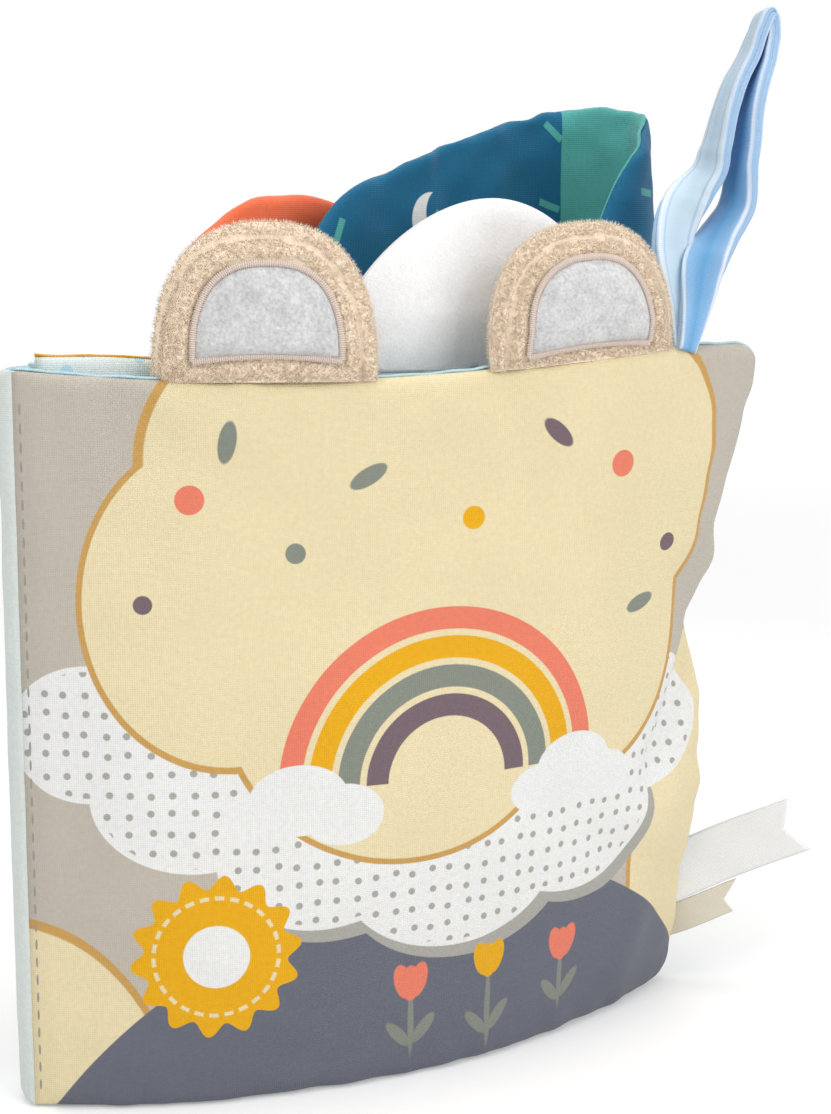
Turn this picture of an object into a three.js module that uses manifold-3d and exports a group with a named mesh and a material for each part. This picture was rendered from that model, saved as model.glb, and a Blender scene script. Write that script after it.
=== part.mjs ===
// A baby's crinkle cloth book, standing half open on its lower edges with its leaves fanned out.
// Millimetres, +Z up. The origin is the middle of the spine's foot. The front cover runs towards +X
// with its print facing -Y, and the leaves and the back cover fan out behind it towards +Y.
import * as THREE from "three";
import { mergeVertices } from "three/addons/utils/BufferGeometryUtils.js";
import Module from "manifold-3d";

const wasm = await Module();
wasm.setup();

const radians = THREE.MathUtils.degToRad;

// Driving dimensions of the covers and the spine
const coverWidth = 176;
const coverHeight = 161;
const coverCorner = 7;
const coverEdgeThickness = 3.6;
const coverMiddleThickness = 6;
const topSag = 3.8;
const topForeRise = 3.2;
const topDipLength = 150;
const spineWidth = 18;
const spineBulge = 3;
const spineThickness = 4;

// Cloth, film and clearances
const coverCloth = 0.8;
const leafCloth = 0.6;
const filmThickness = 0.4;
const layerGap = 0.3;
const hingeSlack = 2;
const spineSlack = 2.8;

// Leaves
const leafSetback = 8;
const leafWidth = coverWidth - leafSetback;
const leafHeight = 160;
const leafCorner = 7;
const leafEdgeThickness = 2.5;
const leafMiddleThickness = 3.8;
const gutterDepth = 9.5;
const gutterSpacing = 5;
const gutterSlack = 1.6;

// Plan of each panel: its direction at the spine, and how far it has turned at the fore edge
const bendStart = 12;
const frontCoverAngle = 0;
const frontCoverTurn = 53.5;
const frontCoverFlare = 14;
const frontCoverFlareStart = 0.62;
const frontCoverCurl = 8;
const frontCoverCurlEnd = 0.3;
const backCoverAngle = 48;
const backCoverTurn = 6;
const mintLeafAngle = 8;
const mintLeafTurn = 50;
const mintLeafFlare = 12;
const mintLeafCurl = 5;
const blueLeafAngle = 23;
const blueLeafTurn = 19;
const coralLeafAngle = 36;
const coralLeafTurn = 8;

// Tall flaps sewn in the top seams of the blue and the coral leaf
const blueFlapStart = 54;
const blueFlapPeak = 140;
const blueFlapEnd = 192;
const blueFlapHeight = 59;
const blueFlapSlope = 27.5;
const blueFlapRound = 24;
const blueFlapForeDrop = 28;
const blueCurlStart = 128;
const blueCurlTopTurn = 225;
const blueCurlFootTurn = 195;
const coralFlapMiddle = 61;
const coralFlapHalfWidth = 38;
const coralFlapHeight = 37.5;
const flapTrim = 3;

// White tab on the mint leaf
const domeMiddle = 94;
const domeHalfWidth = 36;
const domeHeight = 36.7;
const domeRoundness = 1.9;
const domeStuffing = 5;
const domeSettle = 0.5;
const velourThickness = 1.4;

// Plush ears
const earWidth = 47;
const earHeight = 31.5;
const earSpacing = 73;
const earShift = 1;
const earStuffing = 5;
const plushThickness = 2.6;
const earRoundness = 2.5;
const earSeamGap = 0.8;
const appliqueWidth = 30;
const appliqueHeight = 19;
const appliqueLift = 4;
const appliqueThickness = 1;
const borderWidth = 1.8;
const borderThickness = 1.6;

// Hanging strap, a folded ribbon sewn in the cover's top seam
const strapFromFore = 24;
const strapWidth = 10;
const strapFootWidth = 5;
const strapSpread = 18;
const strapThickness = 1.6;
const strapStepsPerPoint = 2;
// Points along its middle, as distance along the seam, behind the seam and above it, and the
// angle that its width has turned from along the seam towards the front
const strapRoute = [
  [0, -0.9, 0.6, 0],
  [3.2, -0.9, 8.7, 20],
  [5, -1, 17, 40],
  [8.4, -1, 22.7, 62],
  [12.1, -1, 27, 76],
  [14.9, -1, 31, 80],
  [16, -1, 36, 80],
  [16.9, -1, 42, 80],
  [19.2, -1, 55.5, 80],
  [23, -0.5, 64, 80],
  [25.2, 0, 70.5, 80],
  [24, 0.7, 73.6, 80],
  [21.8, 1, 70.5, 80],
  [19.6, 1.5, 64, 80],
  [14.9, 2, 55.5, 80],
  [12.6, 2, 49, 80],
  [10.7, 2, 43.3, 80],
  [9.4, 2.5, 38.6, 76],
  [5.6, 3.5, 34, 50],
  [2, 4, 29, 20],
  [0.2, 4, 23, 5],
  [0.2, 3.4, 15.5, 0],
  [0.4, 2.2, 8, 0],
  [0, 0.9, 0.6, 0],
];

// Tags sewn in the cover's fore edge
const tagThickness = 0.5;
const tagAngle = -4;
const tagSlack = 0.8;
const tagGap = 1;
const largeTagFoot = 19.4;
const largeTagLength = 38;
const largeTagHeight = 14.6;
const largeTagNotch = 4;
const largeTagSkew = 0;
const largeTagSlant = 24;
const smallTagLength = 19;
const smallTagHeight = 7.8;
const smallTagNotch = 3;
const smallTagSkew = 4;
const smallTagSlant = 23;

// Topstitch beside the spine
const stitchInset = 3.5;
const stitchRadius = 0.3;
const stitchMargin = 3;

const cloth = (name, color, roughness = 0.9) =>
  new THREE.MeshStandardMaterial({ name, color, roughness, metalness: 0 });
const materials = {
  greyPrint: cloth("grey printed polyester", 0xc5bdb0),
  palePrint: cloth("pale mint polyester", 0xe4ebe8),
  paleBlue: cloth("pale blue polyester lining", 0xbfe0ea),
  mustard: cloth("mustard printed polyester", 0xefb310),
  blue: cloth("blue printed polyester", 0x1f6f94),
  teal: cloth("teal printed polyester", 0x5fb3a0),
  coral: cloth("coral printed polyester", 0xf0705a),
  plush: cloth("beige short-pile plush", 0xe3cbb0, 1),
  velour: cloth("white velour", 0xf4f4f2, 1),
  embroidery: cloth("beige satin stitch", 0xe6d3bd, 0.6),
  film: cloth("clear crinkle film", 0xf2f6f8, 0.3),
  wadding: cloth("white polyester wadding", 0xffffff, 1),
  ribbon: cloth("light blue folded ribbon", 0xbfd8f0, 0.7),
  whiteTape: cloth("white satin tape", 0xf6f6f4, 0.6),
  beigeTape: cloth("beige cotton tape", 0xe2dbc9, 0.9),
  thread: cloth("grey sewing thread", 0x8f8f8c, 0.8),
};

// A closed mesh from a list of points and a list of triangles
function closedGeometry(points, triangles) {
  const geometry = new THREE.BufferGeometry();
  geometry.setAttribute("position", new THREE.Float32BufferAttribute(points.flat(), 3));
  geometry.setIndex(triangles.flat());
  return geometry;
}

// Two triangles over the four corners of a cell, given in turning order
function cell(a, b, c, d) {
  return [
    [a, b, c],
    [a, c, d],
  ];
}

function toSolid(geometry) {
  const bare = geometry.clone();
  bare.deleteAttribute("normal");
  bare.deleteAttribute("uv");
  const merged = mergeVertices(bare, 1e-4);
  return new wasm.Manifold(
    new wasm.Mesh({
      numProp: 3,
      vertProperties: merged.attributes.position.array,
      triVerts: new Uint32Array(merged.index.array),
    }),
  );
}

function toGeometry(solid) {
  const { numProp, vertProperties, triVerts } = solid.getMesh();
  const points = [];
  for (let i = 0; i < vertProperties.length; i += numProp) {
    points.push([vertProperties[i], vertProperties[i + 1], vertProperties[i + 2]]);
  }
  return closedGeometry(points, [Array.from(triVerts)]);
}

function cutAway(geometry, cutter) {
  return toGeometry(toSolid(geometry).subtract(toSolid(cutter)));
}

// Position and direction after walking a distance along a plan line of straights and even bends
function walk(start, angle, bends, distance) {
  let { x, y } = start;
  let heading = radians(angle);
  let walked = 0;
  const goStraight = (length) => {
    x += length * Math.cos(heading);
    y += length * Math.sin(heading);
    walked += length;
  };
  for (const bend of bends) {
    if (distance <= bend.from) break;
    goStraight(bend.from - walked);
    const arc = Math.min(distance, bend.to) - bend.from;
    const turned = (radians(bend.turn) * arc) / (bend.to - bend.from);
    const radius = arc / turned;
    x += radius * (Math.sin(heading + turned) - Math.sin(heading));
    y += radius * (Math.cos(heading) - Math.cos(heading + turned));
    heading += turned;
    walked += arc;
  }
  goStraight(distance - walked);
  return { x, y, heading };
}

// How far a share has come from one place to another, from 0 to 1
const progress = (share, from, to) => THREE.MathUtils.clamp((share - from) / (to - from), 0, 1);

// 0 at both edges of a panel and 1 over its middle
const swell = (share) => Math.max(0, 1 - (2 * share - 1) ** 4);

// A panel is a soft sheet that stands on its foot along a plan line, which may bend more lower down.
// Every layer of it is a slab between two distances from its middle surface.
class Panel {
  constructor(settings) {
    Object.assign(this, { foot: 0, corner: 0, cornerSteps: 0 }, settings);
  }

  // Columns from edge to edge, with the rise of the rounded corners at each
  stations(inset) {
    const straightEnd = this.to - this.corner;
    const first = this.from + inset;
    const last = this.corner ? straightEnd : this.to - inset;
    const stations = [];
    for (let i = 0; i <= this.columns; i++) {
      stations.push({ along: first + ((last - first) * i) / this.columns, rise: 0 });
    }
    const radius = this.corner - inset;
    for (let i = 1; i <= this.cornerSteps; i++) {
      const turned = (Math.PI / 2) * (i / this.cornerSteps);
      stations.push({
        along: straightEnd + radius * Math.sin(turned),
        rise: radius * (1 - Math.cos(turned)),
      });
    }
    return stations;
  }

  middle(along, z) {
    return walk(this.start, this.angle, this.bends((z - this.foot) / this.height), along);
  }

  halfThickness(along, z) {
    const share = (along - this.from) / (this.to - this.from);
    const crown = swell(share) * swell((z - this.foot) / this.height);
    return (this.edgeThickness + (this.middleThickness - this.edgeThickness) * crown) / 2;
  }

  point(along, z, offset) {
    const { x, y, heading } = this.middle(along, z);
    return [x - offset * Math.sin(heading), y + offset * Math.cos(heading), z];
  }

  // Closed slab between two offsets, each a function of the place on the panel
  slab(inset, one, other) {
    const stations = this.stations(inset);
    const midZ = this.foot + this.height / 2;
    const midAlong = (this.from + this.to) / 2;
    const swap = one(midAlong, midZ) > other(midAlong, midZ);
    const sides = swap ? [other, one] : [one, other];
    const points = [];
    for (const offset of sides) {
      for (const { along, rise } of stations) {
        const low = this.foot + inset + rise;
        const high = this.top(along) - inset - rise;
        for (let row = 0; row <= this.rows; row++) {
          const z = low + ((high - low) * row) / this.rows;
          points.push(this.point(along, z, offset(along, z)));
        }
      }
    }
    const perColumn = this.rows + 1;
    const perSide = stations.length * perColumn;
    const id = (side, column, row) => side * perSide + column * perColumn + row;
    const triangles = [];
    const lastColumn = stations.length - 1;
    for (let i = 0; i < lastColumn; i++) {
      for (let j = 0; j < this.rows; j++) {
        triangles.push(...cell(id(0, i, j), id(0, i + 1, j), id(0, i + 1, j + 1), id(0, i, j + 1)));
        triangles.push(...cell(id(1, i, j), id(1, i, j + 1), id(1, i + 1, j + 1), id(1, i + 1, j)));
      }
      triangles.push(...cell(id(0, i, 0), id(1, i, 0), id(1, i + 1, 0), id(0, i + 1, 0)));
      const r = this.rows;
      triangles.push(...cell(id(0, i, r), id(0, i + 1, r), id(1, i + 1, r), id(1, i, r)));
    }
    for (let j = 0; j < this.rows; j++) {
      triangles.push(...cell(id(0, 0, j), id(0, 0, j + 1), id(1, 0, j + 1), id(1, 0, j)));
      const c = lastColumn;
      triangles.push(...cell(id(0, c, j), id(1, c, j), id(1, c, j + 1), id(0, c, j + 1)));
    }
    return closedGeometry(points, triangles);
  }
}

// The layers of one panel. outward is 1 when its outer cloth is on the left of the plan line, else -1.
// The outer cloth wraps round the edges as a tray, and the other layers lie inside it.
function panelLayers(panel, outward, clothThickness, { film, wadding }) {
  const fromOuter = (depth) => (along, z) => outward * (panel.halfThickness(along, z) - depth);
  const fromInner = (depth) => (along, z) => -outward * (panel.halfThickness(along, z) - depth);
  const beyondInner = fromInner(-2);
  const inside = clothThickness + layerGap;
  const layers = {
    outer: cutAway(
      panel.slab(0, fromOuter(0), fromInner(0)),
      panel.slab(clothThickness, fromOuter(clothThickness), beyondInner),
    ),
    lining: panel.slab(inside, fromInner(clothThickness), fromInner(0)),
  };
  let depth = inside;
  if (film) {
    layers.film = panel.slab(inside, fromOuter(depth), fromOuter(depth + filmThickness));
    depth += filmThickness + layerGap;
  }
  if (wadding) {
    layers.wadding = panel.slab(inside, fromOuter(depth), fromInner(inside));
  }
  return layers;
}

// A D-shaped solid standing on its straight edge, between two offsets along Y
function dSolid({ halfWidth, height, base = 0, power = 2, near, far, rings = 4, spokes = 14 }) {
  const surface = (offset) => {
    const points = [[0, offset(0, base), base]];
    for (let ring = 1; ring <= rings; ring++) {
      for (let spoke = 0; spoke <= spokes; spoke++) {
        const turned = (Math.PI * spoke) / spokes;
        const share = ring / rings;
        const cos = Math.cos(turned);
        const x = halfWidth * share * Math.sign(cos) * Math.abs(cos) ** (2 / power);
        const z = base + height * share * Math.max(0, Math.sin(turned)) ** (2 / power);
        points.push([x, offset(x, z), z]);
      }
    }
    return points;
  };
  const points = [...surface(near), ...surface(far)];
  const perSide = points.length / 2;
  const id = (side, ring, spoke) =>
    side * perSide + (ring ? 1 + (ring - 1) * (spokes + 1) + spoke : 0);
  const triangles = [];
  for (let s = 0; s < spokes; s++) {
    triangles.push([id(0, 0, 0), id(0, 1, s), id(0, 1, s + 1)]);
    triangles.push([id(1, 0, 0), id(1, 1, s + 1), id(1, 1, s)]);
    for (let r = 1; r < rings; r++) {
      triangles.push(...cell(id(0, r, s), id(0, r + 1, s), id(0, r + 1, s + 1), id(0, r, s + 1)));
      triangles.push(...cell(id(1, r, s), id(1, r, s + 1), id(1, r + 1, s + 1), id(1, r + 1, s)));
    }
    const rim = rings;
    triangles.push(...cell(id(0, rim, s), id(1, rim, s), id(1, rim, s + 1), id(0, rim, s + 1)));
  }
  for (let r = 0; r < rings; r++) {
    triangles.push(...cell(id(0, r, 0), id(1, r, 0), id(1, r + 1, 0), id(0, r + 1, 0)));
    const last = spokes;
    triangles.push(...cell(id(0, r, last), id(0, r + 1, last), id(1, r + 1, last), id(1, r, last)));
  }
  return closedGeometry(points, triangles);
}

// Half the thickness of the stuffing of a D-shaped tab: fullest above its seam, thin all round
function stuffingProfile(halfWidth, height, stuffing, power) {
  return (x, z) => {
    const reach = (Math.abs(x / halfWidth) ** power + Math.abs(z / height) ** power) ** (1 / power);
    const drawnIn = Math.max(0, 1 - reach ** 3);
    const seam = 0.35 + 0.65 * Math.min(1, Math.max(0, z) / (height * 0.4));
    return 0.3 + (stuffing / 2 - 0.3) * drawnIn * seam;
  };
}

// Thickness of a pile cloth that thins towards the rim of its tab
function pileProfile(halfWidth, height, pile, power) {
  return (x, z) => {
    const reach = (Math.abs(x / halfWidth) ** power + Math.abs(z / height) ** power) ** (1 / power);
    const seam = 0.6 + 0.4 * Math.min(1, Math.max(0, z) / (height * 0.3));
    return pile * seam * (1 - 0.45 * Math.min(1, reach) ** 5);
  };
}

function addMesh(group, name, geometry, material) {
  const mesh = new THREE.Mesh(geometry, material);
  mesh.name = name;
  group.add(mesh);
  return mesh;
}

// A group that stands on a seam: X along the seam, -Y outwards, turned with the panel's plan line.
// settle moves it from the middle of the curved seam towards the straight line between its ends.
function seamGroup(panel, along, halfSpan, gap = layerGap, settle = 0) {
  const before = panel.point(along - halfSpan, panel.height, 0);
  const after = panel.point(along + halfSpan, panel.height, 0);
  const lowEnd = panel.top(along - halfSpan);
  const highEnd = panel.top(along + halfSpan);
  const middle = panel.point(along, panel.height, 0);
  const group = new THREE.Group();
  const across = Math.hypot(after[0] - before[0], after[1] - before[1]);
  const seamHigh = Math.max((lowEnd + highEnd) / 2, panel.top(along));
  const x = THREE.MathUtils.lerp(middle[0], (before[0] + after[0]) / 2, settle);
  const y = THREE.MathUtils.lerp(middle[1], (before[1] + after[1]) / 2, settle);
  group.position.set(x, y, seamHigh + gap);
  const heading = Math.atan2(after[1] - before[1], after[0] - before[0]);
  group.rotation.set(0, -Math.atan2(highEnd - lowEnd, across), heading, "ZYX");
  return group;
}

const book = new THREE.Group();
book.name = "crinkle_cloth_book";

// Spine: a short padded strip, bulging outwards between the two hinge edges
const spineRadius = (spineWidth ** 2 / 4 + spineBulge ** 2) / (2 * spineBulge);
const spineHalfTurn = THREE.MathUtils.radToDeg(Math.asin(spineWidth / 2 / spineRadius));
const spineLength = 2 * spineRadius * radians(spineHalfTurn);
const frontHinge = { x: spineBulge, y: -spineWidth / 2 };
const backHinge = { x: spineBulge, y: spineWidth / 2 };

const spinePanel = new Panel({
  start: frontHinge,
  angle: 90 + spineHalfTurn,
  bends: () => [{ from: 0, to: spineLength, turn: -2 * spineHalfTurn }],
  from: spineSlack,
  to: spineLength - spineSlack,
  height: coverHeight,
  top: () => coverHeight,
  edgeThickness: spineThickness,
  middleThickness: spineThickness,
  columns: 4,
  rows: 2,
});
const spineLayers = panelLayers(spinePanel, 1, coverCloth, { wadding: true });
addMesh(book, "spine_outer", spineLayers.outer, materials.palePrint);
addMesh(book, "spine_wadding", spineLayers.wadding, materials.wadding);
addMesh(book, "spine_lining", spineLayers.lining, materials.paleBlue);

// The bundle of seam allowances inside the spine, in which the leaves' edges are sewn
const gutterNear = spineBulge + 1;
const gutterFar = gutterDepth - gutterSlack - 1.2;
const gutterSpan = 2 * gutterSpacing + 2;
const gutterShape = new THREE.Shape();
gutterShape.moveTo(gutterNear, -gutterSpan / 2 + 1);
gutterShape.lineTo(gutterFar, -gutterSpan / 2);
gutterShape.lineTo(gutterFar, gutterSpan / 2);
gutterShape.lineTo(gutterNear, gutterSpan / 2 - 1);
gutterShape.closePath();
const gutterGeometry = new THREE.ExtrudeGeometry(gutterShape, {
  depth: leafHeight,
  bevelEnabled: false,
});
addMesh(book, "gutter_seam", gutterGeometry, materials.paleBlue);

// Covers
const coverTop = (along) => {
  const share = progress(along, 0, topDipLength);
  const risen = topForeRise * THREE.MathUtils.smoothstep(share, 0, 1);
  return coverHeight + risen - topSag * Math.sin(Math.PI * share);
};

const coverShape = {
  from: hingeSlack,
  to: coverWidth,
  height: coverHeight,
  corner: coverCorner,
  cornerSteps: 3,
  edgeThickness: coverEdgeThickness,
  middleThickness: coverMiddleThickness,
  columns: 9,
  rows: 4,
};
const frontPanel = new Panel({
  ...coverShape,
  start: frontHinge,
  angle: frontCoverAngle,
  bends: (share) => {
    const flared = frontCoverFlare * progress(share, frontCoverFlareStart, 1);
    const curled = frontCoverCurl * progress(share, frontCoverCurlEnd, 0);
    return [{ from: bendStart, to: coverWidth, turn: frontCoverTurn + curled - flared }];
  },
  top: coverTop,
  rows: 5,
});
const backPanel = new Panel({
  ...coverShape,
  start: backHinge,
  angle: backCoverAngle,
  bends: () => [{ from: bendStart, to: coverWidth, turn: backCoverTurn }],
  top: () => coverHeight,
  columns: 6,
});

function addCover(prefix, panel, outward) {
  const group = new THREE.Group();
  const layers = panelLayers(panel, outward, coverCloth, { film: true, wadding: true });
  addMesh(group, prefix + "_cover_outer", layers.outer, materials.greyPrint);
  addMesh(group, prefix + "_crinkle_film", layers.film, materials.film);
  addMesh(group, prefix + "_wadding", layers.wadding, materials.wadding);
  addMesh(group, prefix + "_cover_lining", layers.lining, materials.paleBlue);
  const stitchLength = coverHeight - topSag - 2 * stitchMargin;
  const stitch = new THREE.CylinderGeometry(stitchRadius, stitchRadius, stitchLength, 6);
  stitch.rotateX(Math.PI / 2);
  const proud = panel.halfThickness(stitchInset, coverHeight / 2) + layerGap + stitchRadius;
  const mesh = addMesh(group, prefix + "_topstitch", stitch, materials.thread);
  const midZ = stitchMargin + stitchLength / 2;
  mesh.position.set(...panel.point(stitchInset, midZ, outward * proud));
  book.add(group);
  return group;
}
const frontCover = addCover("front", frontPanel, -1);
addCover("back", backPanel, 1);

// Leaves
const leafShape = {
  from: gutterSlack,
  to: leafWidth,
  height: leafHeight,
  top: () => leafHeight,
  corner: leafCorner,
  cornerSteps: 2,
  edgeThickness: leafEdgeThickness,
  middleThickness: leafMiddleThickness,
  columns: 7,
  rows: 3,
};
const gutterAt = (place) => ({ x: gutterDepth, y: place * gutterSpacing });
const mintPanel = new Panel({
  ...leafShape,
  start: gutterAt(-1),
  angle: mintLeafAngle,
  bends: (share) => {
    const flared = mintLeafFlare * share ** 3;
    const curled = mintLeafCurl * progress(share, frontCoverCurlEnd, 0);
    return [{ from: bendStart, to: leafWidth, turn: mintLeafTurn + curled - flared }];
  },
});
const blueLeafBends = [{ from: bendStart, to: leafWidth / 2, turn: blueLeafTurn }];
const bluePanel = new Panel({
  ...leafShape,
  start: gutterAt(0),
  angle: blueLeafAngle,
  bends: () => blueLeafBends,
});
const coralLeafBends = [{ from: bendStart, to: leafWidth, turn: coralLeafTurn }];
const coralPanel = new Panel({
  ...leafShape,
  start: gutterAt(1),
  angle: coralLeafAngle,
  bends: () => coralLeafBends,
  columns: 5,
});

// The back cloth of a leaf wraps round its edges, and the front cloth lies inside it
function addLeaf(prefix, panel, frontMaterial, backMaterial, core) {
  const group = new THREE.Group();
  const layers = panelLayers(panel, 1, leafCloth, { [core]: true });
  addMesh(group, prefix + "_front", layers.lining, frontMaterial);
  addMesh(group, prefix + "_" + core, layers[core], materials[core]);
  addMesh(group, prefix + "_back", layers.outer, backMaterial);
  book.add(group);
  return group;
}
const mintLeaf = addLeaf("mint_leaf", mintPanel, materials.palePrint, materials.mustard, "wadding");
const blueLeaf = addLeaf("blue_leaf", bluePanel, materials.blue, materials.teal, "film");
const coralLeaf = addLeaf("coral_leaf", coralPanel, materials.coral, materials.mustard, "wadding");

// Flaps: tall shaped pieces of cloth that stand on a leaf's top seam
const flapFoot = leafHeight + layerGap;
const flapShape = {
  foot: flapFoot,
  edgeThickness: leafEdgeThickness,
  middleThickness: leafEdgeThickness,
};
// It slopes up from a rounded corner to its peak, then drops at its curled end
const blueFlapTop = (along) => {
  const before = progress(along, blueFlapPeak, blueFlapStart);
  const after = progress(along, blueFlapPeak, blueFlapEnd);
  const fromCorner = progress(along, blueFlapStart - flapTrim + blueFlapRound, blueFlapStart - flapTrim);
  const full = blueFlapHeight - blueFlapSlope * before ** 1.3;
  return flapFoot + full * Math.sqrt(1 - fromCorner ** 2) - blueFlapForeDrop * after ** 3;
};
const blueFlapPanel = new Panel({
  ...flapShape,
  start: gutterAt(0),
  angle: blueLeafAngle,
  bends: (share) => [
    ...blueLeafBends,
    {
      from: blueCurlStart,
      to: blueFlapEnd,
      turn: -THREE.MathUtils.lerp(blueCurlFootTurn, blueCurlTopTurn, share),
    },
  ],
  from: blueFlapStart,
  to: blueFlapEnd,
  height: blueFlapHeight,
  top: blueFlapTop,
  columns: 22,
  rows: 3,
});
const coralFlapTop = (along) =>
  flapFoot + coralFlapHeight * Math.sqrt(1 - ((along - coralFlapMiddle) / coralFlapHalfWidth) ** 2);
const coralFlapPanel = new Panel({
  ...flapShape,
  start: gutterAt(1),
  angle: coralLeafAngle,
  bends: () => coralLeafBends,
  from: coralFlapMiddle - coralFlapHalfWidth + flapTrim,
  to: coralFlapMiddle + coralFlapHalfWidth - flapTrim,
  height: coralFlapHeight,
  top: coralFlapTop,
  columns: 10,
  rows: 2,
});
const blueFlap = panelLayers(blueFlapPanel, 1, leafCloth, { film: true });
addMesh(blueLeaf, "blue_flap_front", blueFlap.lining, materials.blue);
addMesh(blueLeaf, "blue_flap_film", blueFlap.film, materials.film);
addMesh(blueLeaf, "blue_flap_back", blueFlap.outer, materials.blue);
const coralFlap = panelLayers(coralFlapPanel, 1, leafCloth, {});
addMesh(coralLeaf, "coral_flap_front", coralFlap.lining, materials.coral);
addMesh(coralLeaf, "coral_flap_back", coralFlap.outer, materials.coral);

// A stuffed tab of two pile cloths: half its stuffing each side of the seam's plane
function addTab(group, names, size, pile, clothMaterial) {
  const { halfWidth, height, stuffing, power } = size;
  const filled = stuffingProfile(halfWidth, height, stuffing, power);
  const nap = pileProfile(halfWidth, height, pile, power);
  const clothSide = (side) => ({
    inner: (x, z) => side * (filled(x, z) + layerGap),
    outer: (x, z) => side * (filled(x, z) + layerGap + nap(x, z)),
  });
  const front = clothSide(-1);
  const back = clothSide(1);
  const outline = { halfWidth, height, power };
  addMesh(group, names.front, dSolid({ ...outline, near: front.outer, far: front.inner }), clothMaterial);
  addMesh(group, names.back, dSolid({ ...outline, near: back.inner, far: back.outer }), clothMaterial);
  const core = {
    halfWidth: halfWidth - pile,
    height: height - pile,
    power,
    near: (x, z) => -filled(x, z),
    far: filled,
    rings: 3,
    spokes: 10,
  };
  addMesh(group, names.stuffing, dSolid(core), materials.wadding);
  return front.outer;
}

// White velour tab on the mint leaf
const domeGroup = seamGroup(mintPanel, domeMiddle, domeHalfWidth, layerGap, domeSettle);
addTab(
  domeGroup,
  { front: "dome_tab_front", back: "dome_tab_back", stuffing: "dome_tab_stuffing" },
  {
    halfWidth: domeHalfWidth,
    height: domeHeight,
    stuffing: domeStuffing,
    power: domeRoundness,
  },
  velourThickness,
  materials.velour,
);
mintLeaf.add(domeGroup);

// Ears, each with an appliqué and an embroidered border on its front
function addEar(side, along) {
  const group = seamGroup(frontPanel, along, earWidth / 2, earSeamGap);
  const size = {
    halfWidth: earWidth / 2,
    height: earHeight,
    stuffing: earStuffing,
    power: earRoundness,
  };
  const names = {
    front: side + "_ear_front_plush",
    back: side + "_ear_back_plush",
    stuffing: side + "_ear_stuffing",
  };
  const face = addTab(group, names, size, plushThickness, materials.plush);
  const above = (thickness) => (x, z) => face(x, z) - layerGap - thickness;
  const applique = {
    halfWidth: appliqueWidth / 2,
    height: appliqueHeight,
    base: appliqueLift,
    power: earRoundness,
  };
  const grown = (margin) => ({
    halfWidth: applique.halfWidth + margin,
    height: applique.height + margin,
    base: applique.base - margin / 2,
    power: applique.power,
  });
  addMesh(
    group,
    side + "_ear_inner_velour",
    dSolid({ ...applique, near: above(appliqueThickness), far: above(0), rings: 3, spokes: 12 }),
    materials.velour,
  );
  const border = cutAway(
    dSolid({ ...grown(borderWidth + layerGap), near: above(borderThickness), far: above(0) }),
    dSolid({ ...grown(layerGap), near: above(borderThickness + 1), far: above(-1) }),
  );
  addMesh(group, side + "_ear_embroidery", border, materials.embroidery);
  frontCover.add(group);
}
addEar("left", (coverWidth - earSpacing) / 2 + earShift);
addEar("right", (coverWidth + earSpacing) / 2 + earShift);

// Strap: a flat band along its route, narrow at its sewn ends, that twists as it rises
function strapGeometry() {
  const route = new THREE.CatmullRomCurve3(
    strapRoute.map(([along, behind, above]) => new THREE.Vector3(along, behind, above)),
  );
  const strapSteps = (strapRoute.length - 1) * strapStepsPerPoint;
  const points = [];
  for (let i = 0; i <= strapSteps; i++) {
    const at = route.getPoint(i / strapSteps);
    const ahead = route.getTangent(i / strapSteps);
    const before = Math.floor(i / strapStepsPerPoint);
    const after = Math.min(before + 1, strapRoute.length - 1);
    const between = (i % strapStepsPerPoint) / strapStepsPerPoint;
    const twist = radians(THREE.MathUtils.lerp(strapRoute[before][3], strapRoute[after][3], between));
    const flat = new THREE.Vector3(Math.cos(twist), -Math.sin(twist), 0);
    const outward = new THREE.Vector3().crossVectors(ahead, flat).normalize();
    const width = new THREE.Vector3().crossVectors(outward, ahead).normalize();
    const spread = THREE.MathUtils.lerp(strapFootWidth, strapWidth, progress(at.z, 0, strapSpread));
    const corners = [
      [-1, -1],
      [1, -1],
      [1, 1],
      [-1, 1],
    ];
    for (const [across, through] of corners) {
      const corner = at.clone();
      corner.addScaledVector(width, (across * spread) / 2);
      corner.addScaledVector(outward, (through * strapThickness) / 2);
      const endStep = i === 0 || i === strapSteps;
      points.push([corner.x, corner.y, endStep ? 0 : Math.max(0, corner.z)]);
    }
  }
  const triangles = [...cell(3, 2, 1, 0)];
  for (let i = 0; i < strapSteps; i++) {
    for (let side = 0; side < 4; side++) {
      const next = (side + 1) % 4;
      triangles.push(...cell(4 * i + side, 4 * i + next, 4 * i + 4 + next, 4 * i + 4 + side));
    }
  }
  const end = 4 * strapSteps;
  triangles.push(...cell(end, end + 1, end + 2, end + 3));
  return closedGeometry(points, triangles);
}
const strapGroup = seamGroup(frontPanel, coverWidth - strapFromFore, strapFootWidth / 2);
addMesh(strapGroup, "hanging_strap", strapGeometry(), materials.ribbon);
frontCover.add(strapGroup);

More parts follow.
